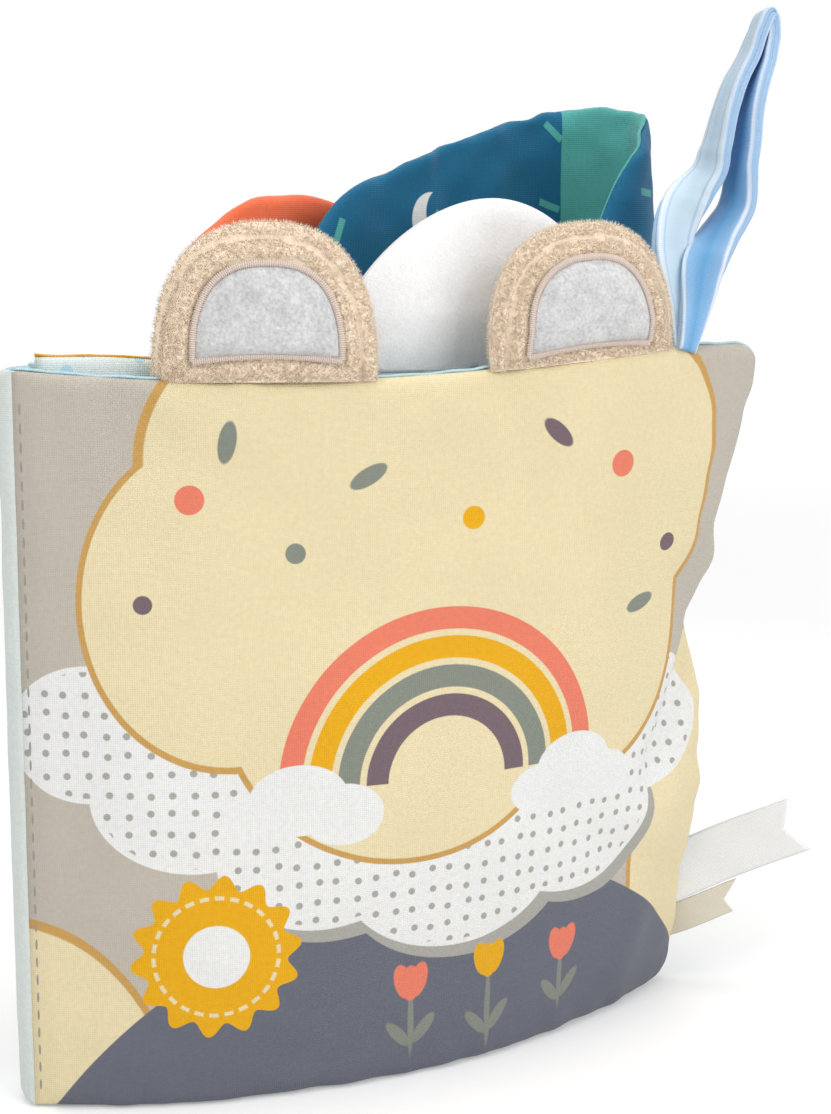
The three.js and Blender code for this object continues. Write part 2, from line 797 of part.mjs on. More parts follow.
// Tags: swallow-tailed strips of tape that slant upwards, with a root that follows the fore edge
function addTag(name, { foot, length, height, notch, skew, slant }, material) {
  const rise = radians(slant);
  const at = (along, across) => [
    along * Math.cos(rise) - across * Math.sin(rise),
    along * Math.sin(rise) + across * Math.cos(rise),
  ];
  const heading = radians(tagAngle);
  const low = frontPanel.point(coverWidth, foot, 0);
  const high = frontPanel.point(coverWidth, foot + height / Math.cos(rise), 0);
  const rootLean = (high[0] - low[0]) * Math.cos(heading) + (high[1] - low[1]) * Math.sin(heading);
  const shape = new THREE.Shape();
  shape.moveTo(0, 0);
  shape.lineTo(...at(length, 0));
  shape.lineTo(...at(length - notch, height / 2));
  shape.lineTo(...at(length + skew, height));
  shape.lineTo(rootLean, height / Math.cos(rise) + rootLean * Math.tan(rise));
  shape.closePath();
  const tape = new THREE.ExtrudeGeometry(shape, { depth: tagThickness, bevelEnabled: false });
  tape.translate(0, 0, -tagThickness / 2);
  tape.rotateX(Math.PI / 2);
  const group = new THREE.Group();
  group.position.set(low[0], low[1], foot);
  group.rotation.set(0, 0, heading);
  const mesh = addMesh(group, name, tape, material);
  mesh.position.x = tagSlack + coverEdgeThickness / 2;
  frontCover.add(group);
}
addTag(
  "large_tag",
  {
    foot: largeTagFoot,
    length: largeTagLength,
    height: largeTagHeight,
    notch: largeTagNotch,
    skew: largeTagSkew,
    slant: largeTagSlant,
  },
  materials.whiteTape,
);
const smallTagFoot = largeTagFoot - tagGap - smallTagHeight / Math.cos(radians(smallTagSlant));
addTag(
  "small_tag",
  {
    foot: smallTagFoot,
    length: smallTagLength,
    height: smallTagHeight,
    notch: smallTagNotch,
    skew: smallTagSkew,
    slant: smallTagSlant,
  },
  materials.beigeTape,
);

export default book;
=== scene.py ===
import random
from math import asin, atan2, cos, degrees, exp, hypot, pi, radians, sin, sqrt, tan

import bpy
import numpy as np
from mathutils import Matrix, Vector, noise


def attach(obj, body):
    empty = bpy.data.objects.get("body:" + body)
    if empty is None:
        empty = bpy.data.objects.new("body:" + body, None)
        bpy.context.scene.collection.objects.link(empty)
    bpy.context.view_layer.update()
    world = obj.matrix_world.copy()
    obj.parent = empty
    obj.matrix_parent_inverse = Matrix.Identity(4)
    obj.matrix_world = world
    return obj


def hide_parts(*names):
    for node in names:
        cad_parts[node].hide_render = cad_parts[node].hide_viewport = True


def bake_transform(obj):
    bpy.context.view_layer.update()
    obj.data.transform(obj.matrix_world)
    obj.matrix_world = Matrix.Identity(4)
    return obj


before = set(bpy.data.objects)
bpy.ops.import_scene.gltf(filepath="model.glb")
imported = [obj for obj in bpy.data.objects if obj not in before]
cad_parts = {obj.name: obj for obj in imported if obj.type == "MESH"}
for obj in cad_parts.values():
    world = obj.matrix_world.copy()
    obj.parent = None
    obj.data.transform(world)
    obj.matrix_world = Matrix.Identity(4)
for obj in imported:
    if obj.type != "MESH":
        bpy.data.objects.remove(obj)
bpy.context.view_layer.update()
mm = 0.001
print("frame loaded")

# Camera: stands in front of the covers, a little above them, and looks slightly down
cameraValues = {"place": (0.0865, -0.414, 0.186), "pitch": 9.0, "lens": 63.0, "sensor": 36.0, "nearest": 0.01}
cameraData = bpy.data.cameras.new("camera")
cameraData.sensor_fit = "VERTICAL"
cameraData.sensor_height = cameraValues["sensor"]
cameraData.lens = cameraValues["lens"]
cameraData.clip_start = cameraValues["nearest"]
camera = bpy.data.objects.new("camera", cameraData)
bpy.context.collection.objects.link(camera)
camera.location = cameraValues["place"]
camera.rotation_euler = (radians(90 - cameraValues["pitch"]), 0, 0)
bpy.context.scene.camera = camera
bpy.context.scene.view_settings.view_transform = "Standard"
print("camera placed")


# Colours and materials

palette = {
    "grey": "#C6BEB1",
    "cream": "#EFE0B6",
    "mauve": "#7B6870",
    "coral": "#F0846A",
    "sage": "#8B9085",
    "mustard": "#EFB115",
    "slate": "#6C707C",
    "gold": "#D0A35C",
    "white": "#F2F2F0",
    "dotGrey": "#B0AEA6",
    "mint": "#E3EBE7",
    "paleBlue": "#BFE0EA",
    "blue": "#1C6C92",
    "teal": "#5BB4AE",
    "coralRed": "#FF7A52",
}


def linearColour(code):
    channels = [int(code[i : i + 2], 16) / 255 for i in (1, 3, 5)]
    return tuple(c / 12.92 if c <= 0.04045 else ((c + 0.055) / 1.055) ** 2.4 for c in channels) + (1,)


def darker(code, share):
    return [share * c for c in linearColour(code)[:3]] + [1]


def addNode(tree, kind, values=None, links=None, **settings):
    # A node given as a link stands for its first output
    node = tree.nodes.new(kind)
    for key, value in settings.items():
        setattr(node, key, value)
    for key, value in (values or {}).items():
        node.inputs[key].default_value = value
    for key, source in (links or {}).items():
        tree.links.new(getattr(source, "outputs", [source])[0], node.inputs[key])
    return node


def startMaterial(name, finish):
    material = bpy.data.materials.new(name)
    material.use_nodes = True
    tree = material.node_tree
    tree.nodes.clear()
    shader = addNode(tree, "ShaderNodeBsdfPrincipled", finish)
    addNode(tree, "ShaderNodeOutputMaterial", links={"Surface": shader})
    material.diffuse_color = finish["Base Color"]
    return material, tree, shader


def inMillimetres(tree, source):
    scale = {1: (1000, 1000, 1000)}
    return addNode(tree, "ShaderNodeVectorMath", scale, {0: source}, operation="MULTIPLY").outputs[0]


def clothPoint(tree):
    # The cloth's own measure: along the panel and up it
    return inMillimetres(tree, addNode(tree, "ShaderNodeUVMap", uv_map="cloth"))


def objectPoint(tree):
    return inMillimetres(tree, addNode(tree, "ShaderNodeTexCoord").outputs["Object"])


def shadeBetween(tree, shader, share, deep, bright):
    # The surface's colour goes from the deep tone to the bright one
    mix = addNode(tree, "ShaderNodeMix", {6: deep, 7: bright}, {"Factor": share}, data_type="RGBA")
    tree.links.new(mix.outputs[2], shader.inputs["Base Color"])


def raiseSurface(tree, shader, height, strength, distance):
    bump = addNode(tree, "ShaderNodeBump", {"Strength": strength, "Distance": distance}, {"Height": height})
    tree.links.new(bump.outputs[0], shader.inputs["Normal"])


# Printed shapes: each is the distance in millimetres beyond its edge, below zero inside it


def roundShape(tree, point, centre, radii, turn=0):
    moved = addNode(
        tree,
        "ShaderNodeMapping",
        {"Location": (*centre, 0), "Rotation": (0, 0, radians(turn)), "Scale": (*radii, 1)},
        {"Vector": point},
        vector_type="TEXTURE",
    )
    reach = addNode(tree, "ShaderNodeVectorMath", links={0: moved}, operation="LENGTH").outputs["Value"]
    small = min(radii)
    return addNode(tree, "ShaderNodeMath", {1: small, 2: -small}, {0: reach}, operation="MULTIPLY_ADD")


def joinShapes(tree, shapes, operation="MINIMUM"):
    # The least of all covers them all, and the greatest is where they overlap
    joined = shapes[0]
    for shape in shapes[1:]:
        joined = addNode(tree, "ShaderNodeMath", links={0: joined, 1: shape}, operation=operation)
    return joined


def roundShapes(tree, point, parts):
    return joinShapes(tree, [roundShape(tree, point, *part) for part in parts])


def bandOf(tree, shape, middle, width):
    # A line of that width which follows a shape's edge at a distance
    away = addNode(tree, "ShaderNodeMath", {1: middle}, {0: shape}, operation="SUBTRACT")
    size = addNode(tree, "ShaderNodeMath", links={0: away}, operation="ABSOLUTE")
    return addNode(tree, "ShaderNodeMath", {1: width / 2}, {0: size}, operation="SUBTRACT")


def paint(tree, base, shape, tone, soft=0.12):
    # Lays a flat printed colour wherever the shape is below zero
    span = {"From Min": -soft, "From Max": soft, "To Min": 1, "To Max": 0}
    cover = addNode(tree, "ShaderNodeMapRange", span, {"Value": shape})
    values = {7: linearColour(palette[tone])}
    links = {"Factor": cover}
    if isinstance(base, str):
        values[6] = linearColour(palette[base])
    else:
        links[6] = base
    return addNode(tree, "ShaderNodeMix", values, links, data_type="RGBA").outputs[2]


def scatter(tree, point, pitch, randomness):
    # Cells of a scattered print: the offset from the middle of each cell, and a random value for it
    values = {"Scale": 1 / pitch, "Randomness": randomness}
    cells = addNode(tree, "ShaderNodeTexVoronoi", values, {"Vector": point}, voronoi_dimensions="2D")
    links = {0: point, 1: cells.outputs["Position"]}
    offset = addNode(tree, "ShaderNodeVectorMath", links=links, operation="SUBTRACT")
    return offset, addNode(tree, "ShaderNodeSeparateColor", links={0: cells.outputs["Color"]})


def scatteredDots(tree, point, pitch, radius, randomness):
    offset = scatter(tree, point, pitch, randomness)[0]
    return roundShape(tree, offset, (0, 0), (radius, radius))


def scatteredDashes(tree, point, pitch, length, width, randomness):
    offset, chance = scatter(tree, point, pitch, randomness)
    angle = addNode(tree, "ShaderNodeMath", {1: 2 * pi}, {0: chance}, operation="MULTIPLY")
    links = {"Vector": offset, "Angle": angle}
    turned = addNode(tree, "ShaderNodeVectorRotate", links=links, rotation_type="Z_AXIS")
    size = addNode(tree, "ShaderNodeVectorMath", links={0: turned}, operation="ABSOLUTE")
    ends = {1: (length / 2, width / 2, 0)}
    past = addNode(tree, "ShaderNodeVectorMath", ends, {0: size}, operation="SUBTRACT")
    split = addNode(tree, "ShaderNodeSeparateXYZ", links={0: past})
    return joinShapes(tree, [split.outputs[0], split.outputs[1]], "MAXIMUM")


# Fine-woven polyester: matt with a faint fuzz that catches grazing light
polyester = {
    "Roughness": 0.82,
    "IOR": 1.45,
    "Specular IOR Level": 0.3,
    "Sheen Weight": 0.25,
    "Sheen Roughness": 0.4,
}
# The weave's real thread spacing is about 0.25 mm. It is drawn nearly twice as coarse so that it shows.
weave = {"pitch": 0.47, "shade": 0.11, "depth": 0.45, "height": 0.0002}
waveScale = 0.314  # gives a wave texture one band per millimetre


def printedCloth(name, ground):
    material, tree, shader = startMaterial(name, {**polyester, "Base Color": linearColour(palette[ground])})
    return material, tree, shader, clothPoint(tree)


def finishWoven(tree, shader, point, colour):
    # Threads over and under each other, with thicker threads here and there
    values = {"Scale": waveScale / weave["pitch"], "Distortion": 0.6, "Detail": 1, "Detail Scale": 0.4}
    bands = []
    for direction in ("X", "Y"):
        wave = addNode(tree, "ShaderNodeTexWave", values, {"Vector": point}, bands_direction=direction)
        bands.append(wave.outputs["Fac"])
    threads = addNode(tree, "ShaderNodeMath", links={0: bands[0], 1: bands[1]}, operation="MULTIPLY")
    thick = {"Scale": 0.9, "Detail": 3, "Roughness": 0.6}
    slubs = addNode(tree, "ShaderNodeTexNoise", thick, {"Vector": point})
    cloudy = addNode(tree, "ShaderNodeTexNoise", {"Scale": 0.045, "Detail": 2}, {"Vector": point})
    shades = []
    for source, low, high, dark, light in (
        (threads, 0, 1, 1 - weave["shade"], 1),
        (slubs, 0.3, 0.7, 0.94, 1.03),
        (cloudy, 0.3, 0.7, 0.97, 1.01),
    ):
        span = {"From Min": low, "From Max": high, "To Min": dark, "To Max": light}
        shades.append(addNode(tree, "ShaderNodeMapRange", span, {"Value": source}))
    level = joinShapes(tree, shades, "MULTIPLY")
    if isinstance(colour, str):
        plain = {0: linearColour(palette[colour])[:3]}
        tinted = addNode(tree, "ShaderNodeVectorMath", plain, {"Scale": level}, operation="SCALE")
    else:
        tinted = addNode(tree, "ShaderNodeVectorMath", links={0: colour, "Scale": level}, operation="SCALE")
    tree.links.new(tinted.outputs[0], shader.inputs["Base Color"])
    height = addNode(tree, "ShaderNodeMath", {1: 0.5}, {0: slubs, 2: threads}, operation="MULTIPLY_ADD")
    raiseSurface(tree, shader, height, weave["depth"], weave["height"])


# The landscape on the front cover, in millimetres from the foot of its spine edge.
# Each round part is its centre, its half sizes and, where it has one, its turn in degrees.
coverPicture = {
    "hills": [((2, -6), (31, 48), 8), ((178, 34), (30, 62), -4)],
    "hillLine": 1.5,
    "slateHill": ((92, -92), (118, 140), -3),
    "cloud": [
        ((14, 84), (17, 15)),
        ((36, 70), (22, 17)),
        ((64, 56), (24, 18)),
        ((95, 49), (27, 19)),
        ((128, 56), (25, 19)),
        ((152, 74), (20, 17)),
    ],
    "cloudShadow": [((66, 53), (25, 18)), ((97, 46), (28, 19)), ((130, 53), (25, 19))],
    "creamCloud": [
        ((44, 112), (31, 36)),
        ((84, 92), (42, 40)),
        ((126, 100), (34, 36)),
        ((94, 142), (68, 42)),
        ((142, 132), (24, 34)),
    ],
    "creamLine": (0.2, 1.3),
    "rainbow": ((92, 70), (38, 38)),
    "rainbowFoot": 70,
    "rainbowWidth": 5,
    "rainbowBands": [(-2, "coral"), (-8.5, "mustard"), (-15, "sage"), (-21.5, "mauve")],
    "smallClouds": [
        [((58, 68), (11, 8)), ((68, 64), (9, 7)), ((49, 64), (8, 6))],
        [((126, 68), (11, 8)), ((117, 64), (9, 6)), ((136, 64), (8, 6))],
    ],
    "spots": [
        ((36, 134), 3.1, "coral"),
        ((136, 138), 3.1, "coral"),
        ((58, 122), 2.2, "sage"),
        ((153, 118), 2.2, "mauve"),
        ((98, 128), 2.6, "mustard"),
        ((26, 112), 2.0, "mauve"),
    ],
    "leaves": [
        ((74, 138), 30, "sage"),
        ((118, 146), -40, "mauve"),
        ((44, 146), 80, "sage"),
        ((146, 104), 15, "sage"),
    ],
    "leafSize": (4.6, 1.9),
    "sun": ((40, 34), 17),
    "tulips": [((84, 6), 17, "coral"), ((104, 4), 21, "mustard"), ((126, 8), 16, "coral")],
}
# The back cover's: a slate hill, a cream hill and a dotted cloud beside a sun
backPicture = {
    "creamHill": ((128, -20), (78, 92), 6),
    "hillLine": 1.4,
    "slateHill": ((40, -60), (88, 102), -4),
    "cloud": [((52, 110), (17, 13)), ((70, 118), (20, 17)), ((92, 112), (20, 15)), ((72, 104), (36, 9))],
    "sun": ((132, 118), 15),
    "tulips": [((100, 14), 20, "coral"), ((122, 18), 24, "mustard"), ((146, 12), 18, "mauve")],
}
cloudDots = {"pitch": 4.4, "radius": 0.78, "randomness": 0.22, "margin": 1.2}
sunShape = {"rays": 14, "rayDepth": 1.5, "seamInset": 3.6, "seamWidth": 0.9, "stitches": 26, "middle": 0.42}


def paintDots(tree, colour, point, cloud):
    # Grey dots on a pale cloud, clear of its edge
    spots = scatteredDots(tree, point, cloudDots["pitch"], cloudDots["radius"], cloudDots["randomness"])
    within = addNode(tree, "ShaderNodeMath", {1: cloudDots["margin"]}, {0: cloud}, operation="ADD")
    return paint(tree, colour, joinShapes(tree, [spots, within], "MAXIMUM"), "dotGrey")


def paintHill(tree, colour, point, hill, line):
    shape = roundShape(tree, point, *hill)
    colour = paint(tree, colour, shape, "cream")
    return paint(tree, colour, bandOf(tree, shape, 0, line), "gold")


def paintSun(tree, colour, point, centre, size):
    # A mustard sun with soft rays, a cream line of printed stitches and a pale middle
    moved = addNode(tree, "ShaderNodeVectorMath", {1: (*centre, 0)}, {0: point}, operation="SUBTRACT")
    split = addNode(tree, "ShaderNodeSeparateXYZ", links={0: moved})
    sides = {0: split.outputs[1], 1: split.outputs[0]}
    angle = addNode(tree, "ShaderNodeMath", links=sides, operation="ARCTAN2")
    reach = addNode(tree, "ShaderNodeVectorMath", links={0: moved}, operation="LENGTH").outputs["Value"]
    rays = addNode(tree, "ShaderNodeMath", {1: sunShape["rays"]}, {0: angle}, operation="MULTIPLY")
    wave = addNode(tree, "ShaderNodeMath", links={0: rays}, operation="SINE")
    depth = {1: -sunShape["rayDepth"], 2: -size}
    ripple = addNode(tree, "ShaderNodeMath", depth, {0: wave}, operation="MULTIPLY_ADD")
    shape = addNode(tree, "ShaderNodeMath", links={0: reach, 1: ripple}, operation="ADD")
    colour = paint(tree, colour, shape, "mustard")
    inset = {1: size - sunShape["seamInset"]}
    circle = addNode(tree, "ShaderNodeMath", inset, {0: reach}, operation="SUBTRACT")
    dashes = addNode(tree, "ShaderNodeMath", {1: sunShape["stitches"]}, {0: angle}, operation="MULTIPLY")
    gaps = addNode(tree, "ShaderNodeMath", links={0: dashes}, operation="SINE")
    cutGaps = addNode(tree, "ShaderNodeMath", {1: -1, 2: -0.35}, {0: gaps}, operation="MULTIPLY_ADD")
    seam = bandOf(tree, circle, 0, sunShape["seamWidth"])
    colour = paint(tree, colour, joinShapes(tree, [seam, cutGaps], "MAXIMUM"), "cream")
    middle = size * sunShape["middle"]
    return paint(tree, colour, roundShape(tree, point, centre, (middle, middle)), "white")


def paintTulip(tree, colour, point, foot, height, petal):
    # A tulip of three leaf-shaped petals on a stalk with two leaves
    x, y = foot
    green = [
        ((x, y + height * 0.4), (0.75, height * 0.45)),
        ((x + 3, y + height * 0.3), (4.2, 1.5), 48),
        ((x - 3, y + height * 0.26), (4.0, 1.4), 132),
    ]
    petals = [
        ((x - 1.9, y + height), (2.1, 4.2), 14),
        ((x + 1.9, y + height), (2.1, 4.2), -14),
        ((x, y + height - 0.6), (2.3, 4.2)),
    ]
    colour = paint(tree, colour, roundShapes(tree, point, green), "sage")
    return paint(tree, colour, roundShapes(tree, point, petals), petal)


def finishPicture(tree, shader, point, colour, picture):
    colour = paintSun(tree, colour, point, *picture["sun"])
    for tulip in picture["tulips"]:
        colour = paintTulip(tree, colour, point, *tulip)
    finishWoven(tree, shader, point, colour)


def coverPrint():
    # A landscape print: a cream cloud, a rainbow, a dotted cloud and a slate hill, with a stitched sun
    material, tree, shader, point = printedCloth("printed polyester, cover landscape", "grey")
    picture = coverPicture
    colour = "grey"
    for hill in picture["hills"]:
        colour = paintHill(tree, colour, point, hill, picture["hillLine"])
    colour = paint(tree, colour, roundShape(tree, point, *picture["slateHill"]), "slate")
    cloud = roundShapes(tree, point, picture["cloud"])
    colour = paint(tree, colour, roundShapes(tree, point, picture["cloudShadow"]), "dotGrey")
    colour = paint(tree, colour, cloud, "white")
    colour = paintDots(tree, colour, point, cloud)
    cream = roundShapes(tree, point, picture["creamCloud"])
    colour = paint(tree, colour, cream, "cream")
    colour = paint(tree, colour, bandOf(tree, cream, *picture["creamLine"]), "gold")
    rainbow = roundShape(tree, point, *picture["rainbow"])
    height = addNode(tree, "ShaderNodeSeparateXYZ", links={0: point}).outputs[1]
    above = addNode(tree, "ShaderNodeMath", {0: picture["rainbowFoot"]}, {1: height}, operation="SUBTRACT")
    for distance, tone in picture["rainbowBands"]:
        arc = joinShapes(tree, [bandOf(tree, rainbow, distance, picture["rainbowWidth"]), above], "MAXIMUM")
        colour = paint(tree, colour, arc, tone)
    for parts in picture["smallClouds"]:
        colour = paint(tree, colour, roundShapes(tree, point, parts), "white")
    for centre, size, tone in picture["spots"]:
        colour = paint(tree, colour, roundShape(tree, point, centre, (size, size)), tone)
    for centre, turn, tone in picture["leaves"]:
        colour = paint(tree, colour, roundShape(tree, point, centre, picture["leafSize"], turn), tone)
    finishPicture(tree, shader, point, colour, picture)
    return material


def backPrint():
    material, tree, shader, point = printedCloth("printed polyester, back landscape", "grey")
    picture = backPicture
    colour = paintHill(tree, "grey", point, picture["creamHill"], picture["hillLine"])
    colour = paint(tree, colour, roundShape(tree, point, *picture["slateHill"]), "slate")
    cloud = roundShapes(tree, point, picture["cloud"])
    colour = paint(tree, colour, cloud, "white")
    colour = paintDots(tree, colour, point, cloud)
    finishPicture(tree, shader, point, colour, picture)
    return material


def spottedPrint(name, ground, spot, pitch, radius, randomness=0.25):
    material, tree, shader, point = printedCloth(name, ground)
    colour = paint(tree, ground, scatteredDots(tree, point, pitch, radius, randomness), spot)
    finishWoven(tree, shader, point, colour)
    return material


bluePicture = {
    "dashPitch": 21,
    "dash": (6.2, 1.7),
    "randomness": 0.7,
    "moon": ((96, 193), (6, 6)),
    "moonBite": ((99.4, 194.6), (5.2, 5.2)),
    "tealFrom": 137.5,
}


def bluePrint(tealFrom=None):
    # Petrol blue with short teal dashes, a pale crescent and, on one cloth, a teal field past a line
    material, tree, shader, point = printedCloth("printed polyester, petrol blue", "blue")
    picture = bluePicture
    dashes = scatteredDashes(tree, point, picture["dashPitch"], *picture["dash"], picture["randomness"])
    colour = paint(tree, "blue", dashes, "teal")
    bite = roundShape(tree, point, *picture["moonBite"])
    outside = addNode(tree, "ShaderNodeMath", {1: -1}, {0: bite}, operation="MULTIPLY")
    crescent = joinShapes(tree, [roundShape(tree, point, *picture["moon"]), outside], "MAXIMUM")
    colour = paint(tree, colour, crescent, "white")
    if tealFrom:
        along = addNode(tree, "ShaderNodeSeparateXYZ", links={0: point}).outputs[0]
        field = addNode(tree, "ShaderNodeMath", {0: tealFrom}, {1: along}, operation="SUBTRACT")
        colour = paint(tree, colour, field, "teal")
    finishWoven(tree, shader, point, colour)
    return material


def plainCloth(name, tone):
    material, tree, shader, point = printedCloth(name, tone)
    finishWoven(tree, shader, point, tone)
    return material


def pileCloth(name, deep, bright, tuftScale, depth, attribute=None):
    # Short pile: the roots are darker than the tips, painted shade deep in the pile, and the fibres glow at
    # grazing angles
    finish = {
        "Base Color": linearColour(bright),
        "Roughness": 0.95,
        "IOR": 1.45,
        "Specular IOR Level": 0.15,
        "Sheen Weight": 0.55,
        "Sheen Roughness": 0.45,
    }
    material, tree, shader = startMaterial(name, finish)
    point = objectPoint(tree)
    broad = {"Scale": 0.28, "Detail": 3, "Roughness": 0.55, "Distortion": 0.6}
    patches = addNode(tree, "ShaderNodeTexNoise", broad, {"Vector": point})
    fine = {"Scale": tuftScale, "Detail": 4, "Roughness": 0.65}
    tufts = addNode(tree, "ShaderNodeTexNoise", fine, {"Vector": point})
    level = addNode(tree, "ShaderNodeMath", {1: 0.5}, {0: patches, 2: tufts}, operation="MULTIPLY_ADD")
    share = addNode(tree, "ShaderNodeMapRange", {"From Min": 0.45, "From Max": 1.0}, {"Value": level})
    # Where the fibres carry their height, the roots take painted shade and the tips stay bright
    if attribute:
        tip = addNode(tree, "ShaderNodeAttribute", attribute_name=attribute).outputs["Fac"]
        raised = addNode(tree, "ShaderNodeMath", {1: 0.55}, {0: share}, operation="MULTIPLY")
        share = addNode(tree, "ShaderNodeMath", {1: 0.6}, {0: tip, 2: raised}, operation="MULTIPLY_ADD")
    shadeBetween(tree, shader, share, linearColour(deep), linearColour(bright))
    raiseSurface(tree, shader, level, depth, 0.0006)
    return material


def threadMaterial(name, tone, roughness=0.55):
    # Twisted polyester thread: a soft sheen along the fibres
    finish = {"Base Color": linearColour(tone), "Roughness": roughness, "IOR": 1.5}
    finish.update({"Sheen Weight": 0.3, "Sheen Roughness": 0.35})
    material, tree, shader = startMaterial(name, finish)
    strands = addNode(tree, "ShaderNodeTexNoise", {"Scale": 3.5, "Detail": 2}, {"Vector": objectPoint(tree)})
    shadeBetween(tree, shader, strands, darker(tone, 0.82), linearColour(tone))
    raiseSurface(tree, shader, strands, 0.4, 0.0001)
    return material


def waddingMaterial():
    # Loose polyester wadding: bright white, matted fibres with soft shadows between them
    finish = {"Base Color": linearColour("#FAFAF8"), "Roughness": 1.0, "IOR": 1.45}
    finish.update({"Sheen Weight": 0.4, "Sheen Roughness": 0.6})
    material, tree, shader = startMaterial("loose polyester wadding", finish)
    matted = {"Scale": 0.8, "Detail": 6, "Roughness": 0.7, "Distortion": 1.5}
    fibres = addNode(tree, "ShaderNodeTexNoise", matted, {"Vector": objectPoint(tree)})
    shadeBetween(tree, shader, fibres, linearColour("#DFDFDC"), linearColour("#FFFFFF"))
    raiseSurface(tree, shader, fibres, 0.6, 0.0008)
    return material


def filmMaterial():
    # Crinkle film: thin clear plastic with sharp crumples that glint
    finish = {"Base Color": linearColour("#F2F6F8"), "Roughness": 0.2, "IOR": 1.5, "Transmission Weight": 0.5}
    material, tree, shader = startMaterial("clear crinkle film", finish)
    links = {"Vector": objectPoint(tree)}
    crumple = addNode(tree, "ShaderNodeTexVoronoi", {"Scale": 0.12}, links, feature="DISTANCE_TO_EDGE")
    raiseSurface(tree, shader, crumple, 0.7, 0.001)
    return material


ribbon = {"round": 26, "ribPitch": 0.4, "ribDepth": 0.3, "ribHeight": 0.00015}
# Millimetres round the ribbon and the colour there: the pale outer face and its edge's folded layers,
# then the inner face, painted a deeper blue as shade inside the loop, and its edge
ribbonStripes = [
    (0, "#D9E4EC"),
    (0.9, "#CDDCE8"),
    (1.3, "#A3C3DE"),
    (1.8, "#C3D6E4"),
    (5, "#B7CFE0"),
    (8.2, "#C3D6E4"),
    (8.8, "#9DBFDD"),
    (9.2, "#CDDCE8"),
    (10.3, "#D3E0EB"),
    (10.8, "#86B2DC"),
    (11.5, "#D0DFEC"),
    (12.2, "#86B2DC"),
    (12.8, "#E2E8F2"),
    # The inner face: painted shade where the strands face each other
    (13.6, "#8AB4DC"),
    (18, "#5F9FD0"),
    (22.4, "#8AB4DC"),
    (23.3, "#E2ECF4"),
    (23.8, "#9CC4EA"),
    (24.5, "#D6E6F4"),
    (25.2, "#9CC4EA"),
    (26, "#E4EDF3"),
]


def ribbonMaterial():
    # Satin ribbon folded lengthwise: fine ribs across it, and stripes where its folded layers show
    finish = {"Base Color": linearColour("#BFD8F0"), "Roughness": 0.5, "IOR": 1.5}
    finish.update({"Sheen Weight": 0.35, "Sheen Roughness": 0.3})
    material, tree, shader = startMaterial("folded satin ribbon, light blue", finish)
    point = clothPoint(tree)
    split = addNode(tree, "ShaderNodeSeparateXYZ", links={0: point})
    bands = addNode(tree, "ShaderNodeMapRange", {"From Max": ribbon["round"]}, {"Value": split})
    ramp = addNode(tree, "ShaderNodeValToRGB", links={0: bands})
    elements = ramp.color_ramp.elements
    elements[0].color = linearColour(ribbonStripes[0][1])
    elements[1].color = linearColour(ribbonStripes[-1][1])
    for place, code in ribbonStripes[1:-1]:
        elements.new(place / ribbon["round"]).color = linearColour(code)
    tree.links.new(ramp.outputs[0], shader.inputs["Base Color"])
    values = {"Scale": waveScale / ribbon["ribPitch"], "Distortion": 0.8, "Detail": 2}
    ribs = addNode(tree, "ShaderNodeTexWave", values, {"Vector": point}, bands_direction="Y")
    raiseSurface(tree, shader, ribs.outputs["Fac"], ribbon["ribDepth"], ribbon["ribHeight"])
    return material


def tapeMaterial(name, tone, roughness, sheen):
    # Woven label tape: ribs 0.45 mm apart across it and threads 0.6 mm apart along it
    finish = {"Base Color": linearColour(tone), "Roughness": roughness, "IOR": 1.5}
    finish.update({"Sheen Weight": sheen, "Sheen Roughness": 0.35})
    material, tree, shader = startMaterial(name, finish)
    point = clothPoint(tree)
    bands = []
    for direction, pitch in (("X", 0.45), ("Y", 0.6)):
        values = {"Scale": waveScale / pitch, "Distortion": 0.5, "Detail": 2}
        wave = addNode(tree, "ShaderNodeTexWave", values, {"Vector": point}, bands_direction=direction)
        bands.append(wave.outputs["Fac"])
    both = joinShapes(tree, bands, "MULTIPLY")
    shadeBetween(tree, shader, both, darker(tone, 0.88), linearColour(tone))
    raiseSurface(tree, shader, both, 0.3, 0.00012)
    return material


materials = {
    "cover": coverPrint(),
    "back": backPrint(),
    "lining": spottedPrint("printed polyester, pale blue lining", "paleBlue", "white", 9, 1.1, 0.15),
    "spine": plainCloth("plain polyester, pale mint", "mint"),
    "mint": spottedPrint("printed polyester, pale mint", "mint", "paleBlue", 16, 1.4),
    "mustard": spottedPrint("printed polyester, mustard", "mustard", "cream", 12, 1.5),
    "blue": bluePrint(bluePicture["tealFrom"]),
    "blueBack": bluePrint(),
    "teal": spottedPrint("printed polyester, teal", "teal", "white", 13, 1.3),
    "coral": spottedPrint("printed polyester, coral", "coralRed", "cream", 17, 1.6),
    "plush": pileCloth("short-pile plush, beige", "#FBE0C0", "#FFF0DA", 1.1, 0.7, "pile"),
    "velour": pileCloth("white velour", "#E9E9EA", "#F8F8F8", 1.6, 0.5),
    "greyVelour": pileCloth("velour, pale grey", "#AFAFB0", "#E2E2E2", 1.3, 0.6),
    "wadding": waddingMaterial(),
    "film": filmMaterial(),
    "ribbon": ribbonMaterial(),
    "whiteTape": tapeMaterial("white satin label tape", "#F6F6F4", 0.55, 0.2),
    "beigeTape": tapeMaterial("natural cotton label tape", "#E2DBC9", 0.85, 0.1),
    "greyThread": threadMaterial("grey sewing thread", "#9C9A94"),
    "satin": threadMaterial("beige embroidery thread, satin stitch", "#E3D2C6", 0.45),
}
print("materials made")


# Panels: soft sheets that stand on their foot along a plan line, which may bend more lower down


def rampTo(share, start, end):
    # How far a value has come from one place to another, from 0 to 1
    return min(1.0, max(0.0, (share - start) / (end - start)))


